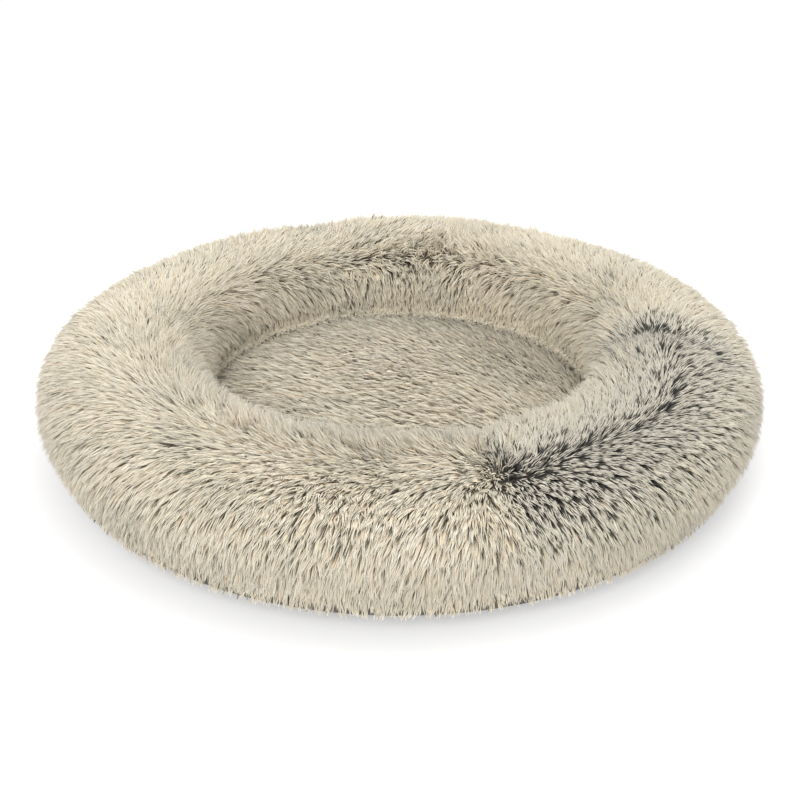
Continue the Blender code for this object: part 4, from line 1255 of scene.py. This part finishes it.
binding_radii = np.linspace(BASE_EDGE - BASE_BINDING_INNER, BASE_EDGE + BASE_BINDING_OUTER, 7)
binding_from, binding_to = zip_to + BINDING_CLEAR_OF_ZIP, zip_from + math.tau - BINDING_CLEAR_OF_ZIP
mesh = spun_cloth("base_binding", underside(binding_radii, BASE_BINDING_DEPTH), 170, binding_from, binding_to)
base_binding = finished("base_binding", mesh, binding_paint, "binding_tape", "base_seam_binding")
thicken(base_binding, BINDING_CLOTH)
print("bindings:", round(area_of(inner_binding), 4), round(area_of(base_binding), 4), "square metres")

# %% [markdown]
# ## The zip
# The zip lies in the base seam, so its track is an arc, tilted as the cloth is there.
# Teeth, stops, slider and pull keep the frame's exact solids, because they have to run past each other.
# Only the two woven tapes are made again, with more rows, so that they lie softly into the seam.

# %% Describe the zip's track
ZIP_HEIGHT = float(under_skin(ZIP_RADIUS, 0)[1])
ZIP_DEPTH = 0.0019
SLIDER_AT = 0.0088
SPREAD = 0.0022
TAPE_EDGE = 0.0030
TAPE_BEAD = 0.001
TAPE_FLAT_END = 0.0070
TAPE_LAPPED_FROM = 0.0085
TAPE_FAR = 0.0160
TAPE_DEPTH = 0.0024


def on_track(u, s, n):
    """A point of the zip: along it, across it and out of the bed."""
    angle = ZIP_START + u / ZIP_RADIUS
    r = ZIP_RADIUS + s * math.cos(ZIP_TILT) + n * math.sin(ZIP_TILT)
    return round_the_axis(r, ZIP_HEIGHT + s * math.sin(ZIP_TILT) - n * math.cos(ZIP_TILT), angle)


def spread(x):
    """How far each row is parted at this distance behind the slider's middle."""
    return SPREAD * (1 - smooth_step(x, -0.0040, 0.0010))


def tape_point(u, across, side):
    """A tape's point: across runs from 0 at its beaded edge to 1 at its edge in the seam."""
    s = TAPE_EDGE + (TAPE_FAR - TAPE_EDGE) * across
    s = s + spread(u - SLIDER_AT) * (1 - smooth_step(s, TAPE_EDGE + TAPE_BEAD, TAPE_FLAT_END))
    flat = on_track(u, side * s, -ZIP_DEPTH)
    r, z, _ = under_skin(ZIP_RADIUS + side * s * math.cos(ZIP_TILT), TAPE_DEPTH)
    lapped = round_the_axis(r, z, ZIP_START + u / ZIP_RADIUS)
    share = smooth_step(s, TAPE_FLAT_END, TAPE_LAPPED_FROM)
    return flat + (lapped - flat) * share


# %% Weave the tapes
TAPE_ROWS = 12
TAPE_STEPS = 150
TAPE_WIDTH = 0.0131
TAPE_CLOTH = 0.0006
TAPE_RUNOUT = 0.006


def zip_tape(word, side):
    """One tape of the zip: a strip extruded row by row, then laid on the track."""
    bm = bmesh.new()
    places = np.linspace(-TAPE_RUNOUT, ZIP_LENGTH + TAPE_RUNOUT, TAPE_STEPS + 1)
    line = [bm.verts.new((u, 0, 0)) for u in places]
    edges = [bm.edges.new(pair) for pair in zip(line, line[1:])]
    for _ in range(TAPE_ROWS):
        made = bmesh.ops.extrude_edge_only(bm, edges=edges)["geom"]
        corners = {item for item in made if isinstance(item, bmesh.types.BMVert)}
        bmesh.ops.translate(bm, vec=(0, 1 / TAPE_ROWS, 0), verts=list(corners))
        edges = [item for item in made if isinstance(item, bmesh.types.BMEdge)]
        edges = [edge for edge in edges if corners.issuperset(edge.verts)]
    uv = bm.loops.layers.uv.new("cloth")
    for face in bm.faces:
        for loop in face.loops:
            loop[uv].uv = (loop.vert.co.x, loop.vert.co.y * TAPE_WIDTH)
    for vertex in bm.verts:
        vertex.co = tape_point(vertex.co.x, vertex.co.y, side)
    bmesh.ops.recalc_face_normals(bm, faces=bm.faces)
    name = "zip_tape_" + word + "_woven"
    piece = finished(name, mesh_of(bm, name), tape_paint, "zip_tape_cloth", "zip_tape_" + word)
    thicken(piece, TAPE_CLOTH)
    return piece


zip_tapes = [zip_tape("inner", -1), zip_tape("outer", 1)]
print("each tape:", round(area_of(zip_tapes[0]), 5), "square metres")

# %% [markdown]
# ## Moulded teeth and metal
# The teeth are moulded resin, a little glossy and paler where they rub.
# Slider, pull and stops are pressed metal, brushed along their length and scratched by use.
# One node group gives both their rubbed patches and fine scratches.

# %% Build the wear group


def wear_group():
    """Rubbed patches and fine scratches: a mask of each."""
    group, scaled = new_group("wear", ("Place", "Size"), ("Rubbed", "Scratches"))
    rubbed = eased(group, noise(group, scaled, 1.0, 4.0), 0.42, 0.68)
    drawn = node(group, "ShaderNodeVectorMath", {"operation": "MULTIPLY"}, i0=scaled, i1=(9.0, 1.2, 9.0))
    fine = noise(group, drawn.outputs[0], 1.0, 3.0)
    scratches = node(group, "ShaderNodeMapRange", None, Value=fine, From_Min=0.35, From_Max=0.65).outputs[0]
    return put_out(group, rubbed, scratches)


wear = wear_group()


def worn_material(name, plain, rubbed_colour, size, smooth, rough, metallic):
    """A hard finish that is paler and smoother where it is rubbed, with fine scratches."""
    material, tree, shader = new_material(name, rough, metallic)
    settings = {"node_tree": wear}
    rubbed, scratches = node(tree, "ShaderNodeGroup", settings, i0=object_place(tree), i1=size).outputs
    colour = mixed(tree, rubbed, (*plain, 1), (*rubbed_colour, 1))
    lined = ramp(tree, scratches, (0.0, (0.86, 0.86, 0.86)), (1.0, (1, 1, 1)))
    tree.links.new(mixed(tree, 0.8, colour, lined, "MULTIPLY"), shader.inputs["Base Color"])
    change = maths(tree, "MULTIPLY_ADD", rubbed, smooth - rough, rough)
    tree.links.new(maths(tree, "MULTIPLY_ADD", scratches, 0.08, change), shader.inputs["Roughness"])
    bump = node(tree, "ShaderNodeBump", None, Strength=0.25, Distance=0.00005, Height=scratches)
    tree.links.new(bump.outputs[0], shader.inputs["Normal"])
    return material


resin_paint = worn_material("zip_resin", (0.34, 0.31, 0.26), (0.46, 0.42, 0.36), 300.0, 0.32, 0.5, 0.0)
metal_paint = worn_material("zip_metal", (0.42, 0.41, 0.39), (0.62, 0.60, 0.57), 420.0, 0.26, 0.42, 1.0)
kept = ["zip_teeth_inner", "zip_teeth_outer", "zip_top_stop_inner", "zip_top_stop_outer",
        "zip_bottom_stop", "zip_slider", "zip_pull"]
for name in kept:
    for place in bpy.data.objects[name].material_slots:
        place.material = resin_paint if "teeth" in name else metal_paint
print("CAD pieces kept and painted:", len(kept))

# %% [markdown]
# ## Stitches
# Sewing thread shows as short stitches, each sunk a little where it enters the cloth.
# One stitch is a small ball drawn out long; copies of it follow each seam at the same pitch.

# %% Sew the seams
STITCH_PITCH = 0.0034
STITCH_LENGTH = 0.0027
THREAD = 0.00055

bm = bmesh.new()
bmesh.ops.create_icosphere(bm, subdivisions=1, radius=0.5)
stitch_corners, stitch_faces = shape_of(bm)
thread_paint = speckled_material(
    "sewing_thread", 0.6, 1400.0, 2.0, (0.3, (0.46, 0.43, 0.37)), (0.7, (0.66, 0.62, 0.54)),
    Sheen_Weight=0.2)[0]


def stitches(name, r, z, start, stop, tilt):
    """A row of stitches round the axis at this radius and height, on cloth with this tilt."""
    count = int((stop - start) * r / STITCH_PITCH)
    angle = np.linspace(start, stop, count)
    out = round_the_axis(1.0, 0.0, angle)
    along = np.stack([-out[:, 1], out[:, 0], 0 * angle], -1)
    up = np.array([0.0, 0.0, 1.0])
    across = out * math.cos(tilt) + up * math.sin(tilt)
    down = out * math.sin(tilt) - up * math.cos(tilt)
    x, y, n = (stitch_corners[:, i][None, :, None] for i in range(3))
    corners = round_the_axis(r, z, angle)[:, None] + along[:, None] * x * STITCH_LENGTH
    corners = corners + across[:, None] * y * THREAD + down[:, None] * n * THREAD
    return finished(name, repeated(name, corners, stitch_faces), thread_paint, "base_cloth")


SEAM_OVERLAP = 0.02
EDGE_ROW_IN, SECOND_ROW_IN, ZIP_ROW_IN = 0.0030, 0.0052, 0.0022
round_base = (zip_to + SEAM_OVERLAP, zip_from + math.tau - SEAM_OVERLAP)
rows = [("stitches_base_edge", BASE_EDGE - EDGE_ROW_IN, round_base),
        ("stitches_base_second", BASE_EDGE - SECOND_ROW_IN, round_base),
        ("stitches_zip_inner", BASE_CUT - ZIP_ROW_IN, (zip_from - SEAM_OVERLAP, zip_to + SEAM_OVERLAP))]
for name, r, ends in rows:
    place_r, place_z, tilt = (float(x) for x in under_skin(r, GRIP_DOT_HEIGHT - DOT_SUNK))
    stitches(name, place_r, place_z, *ends, tilt)
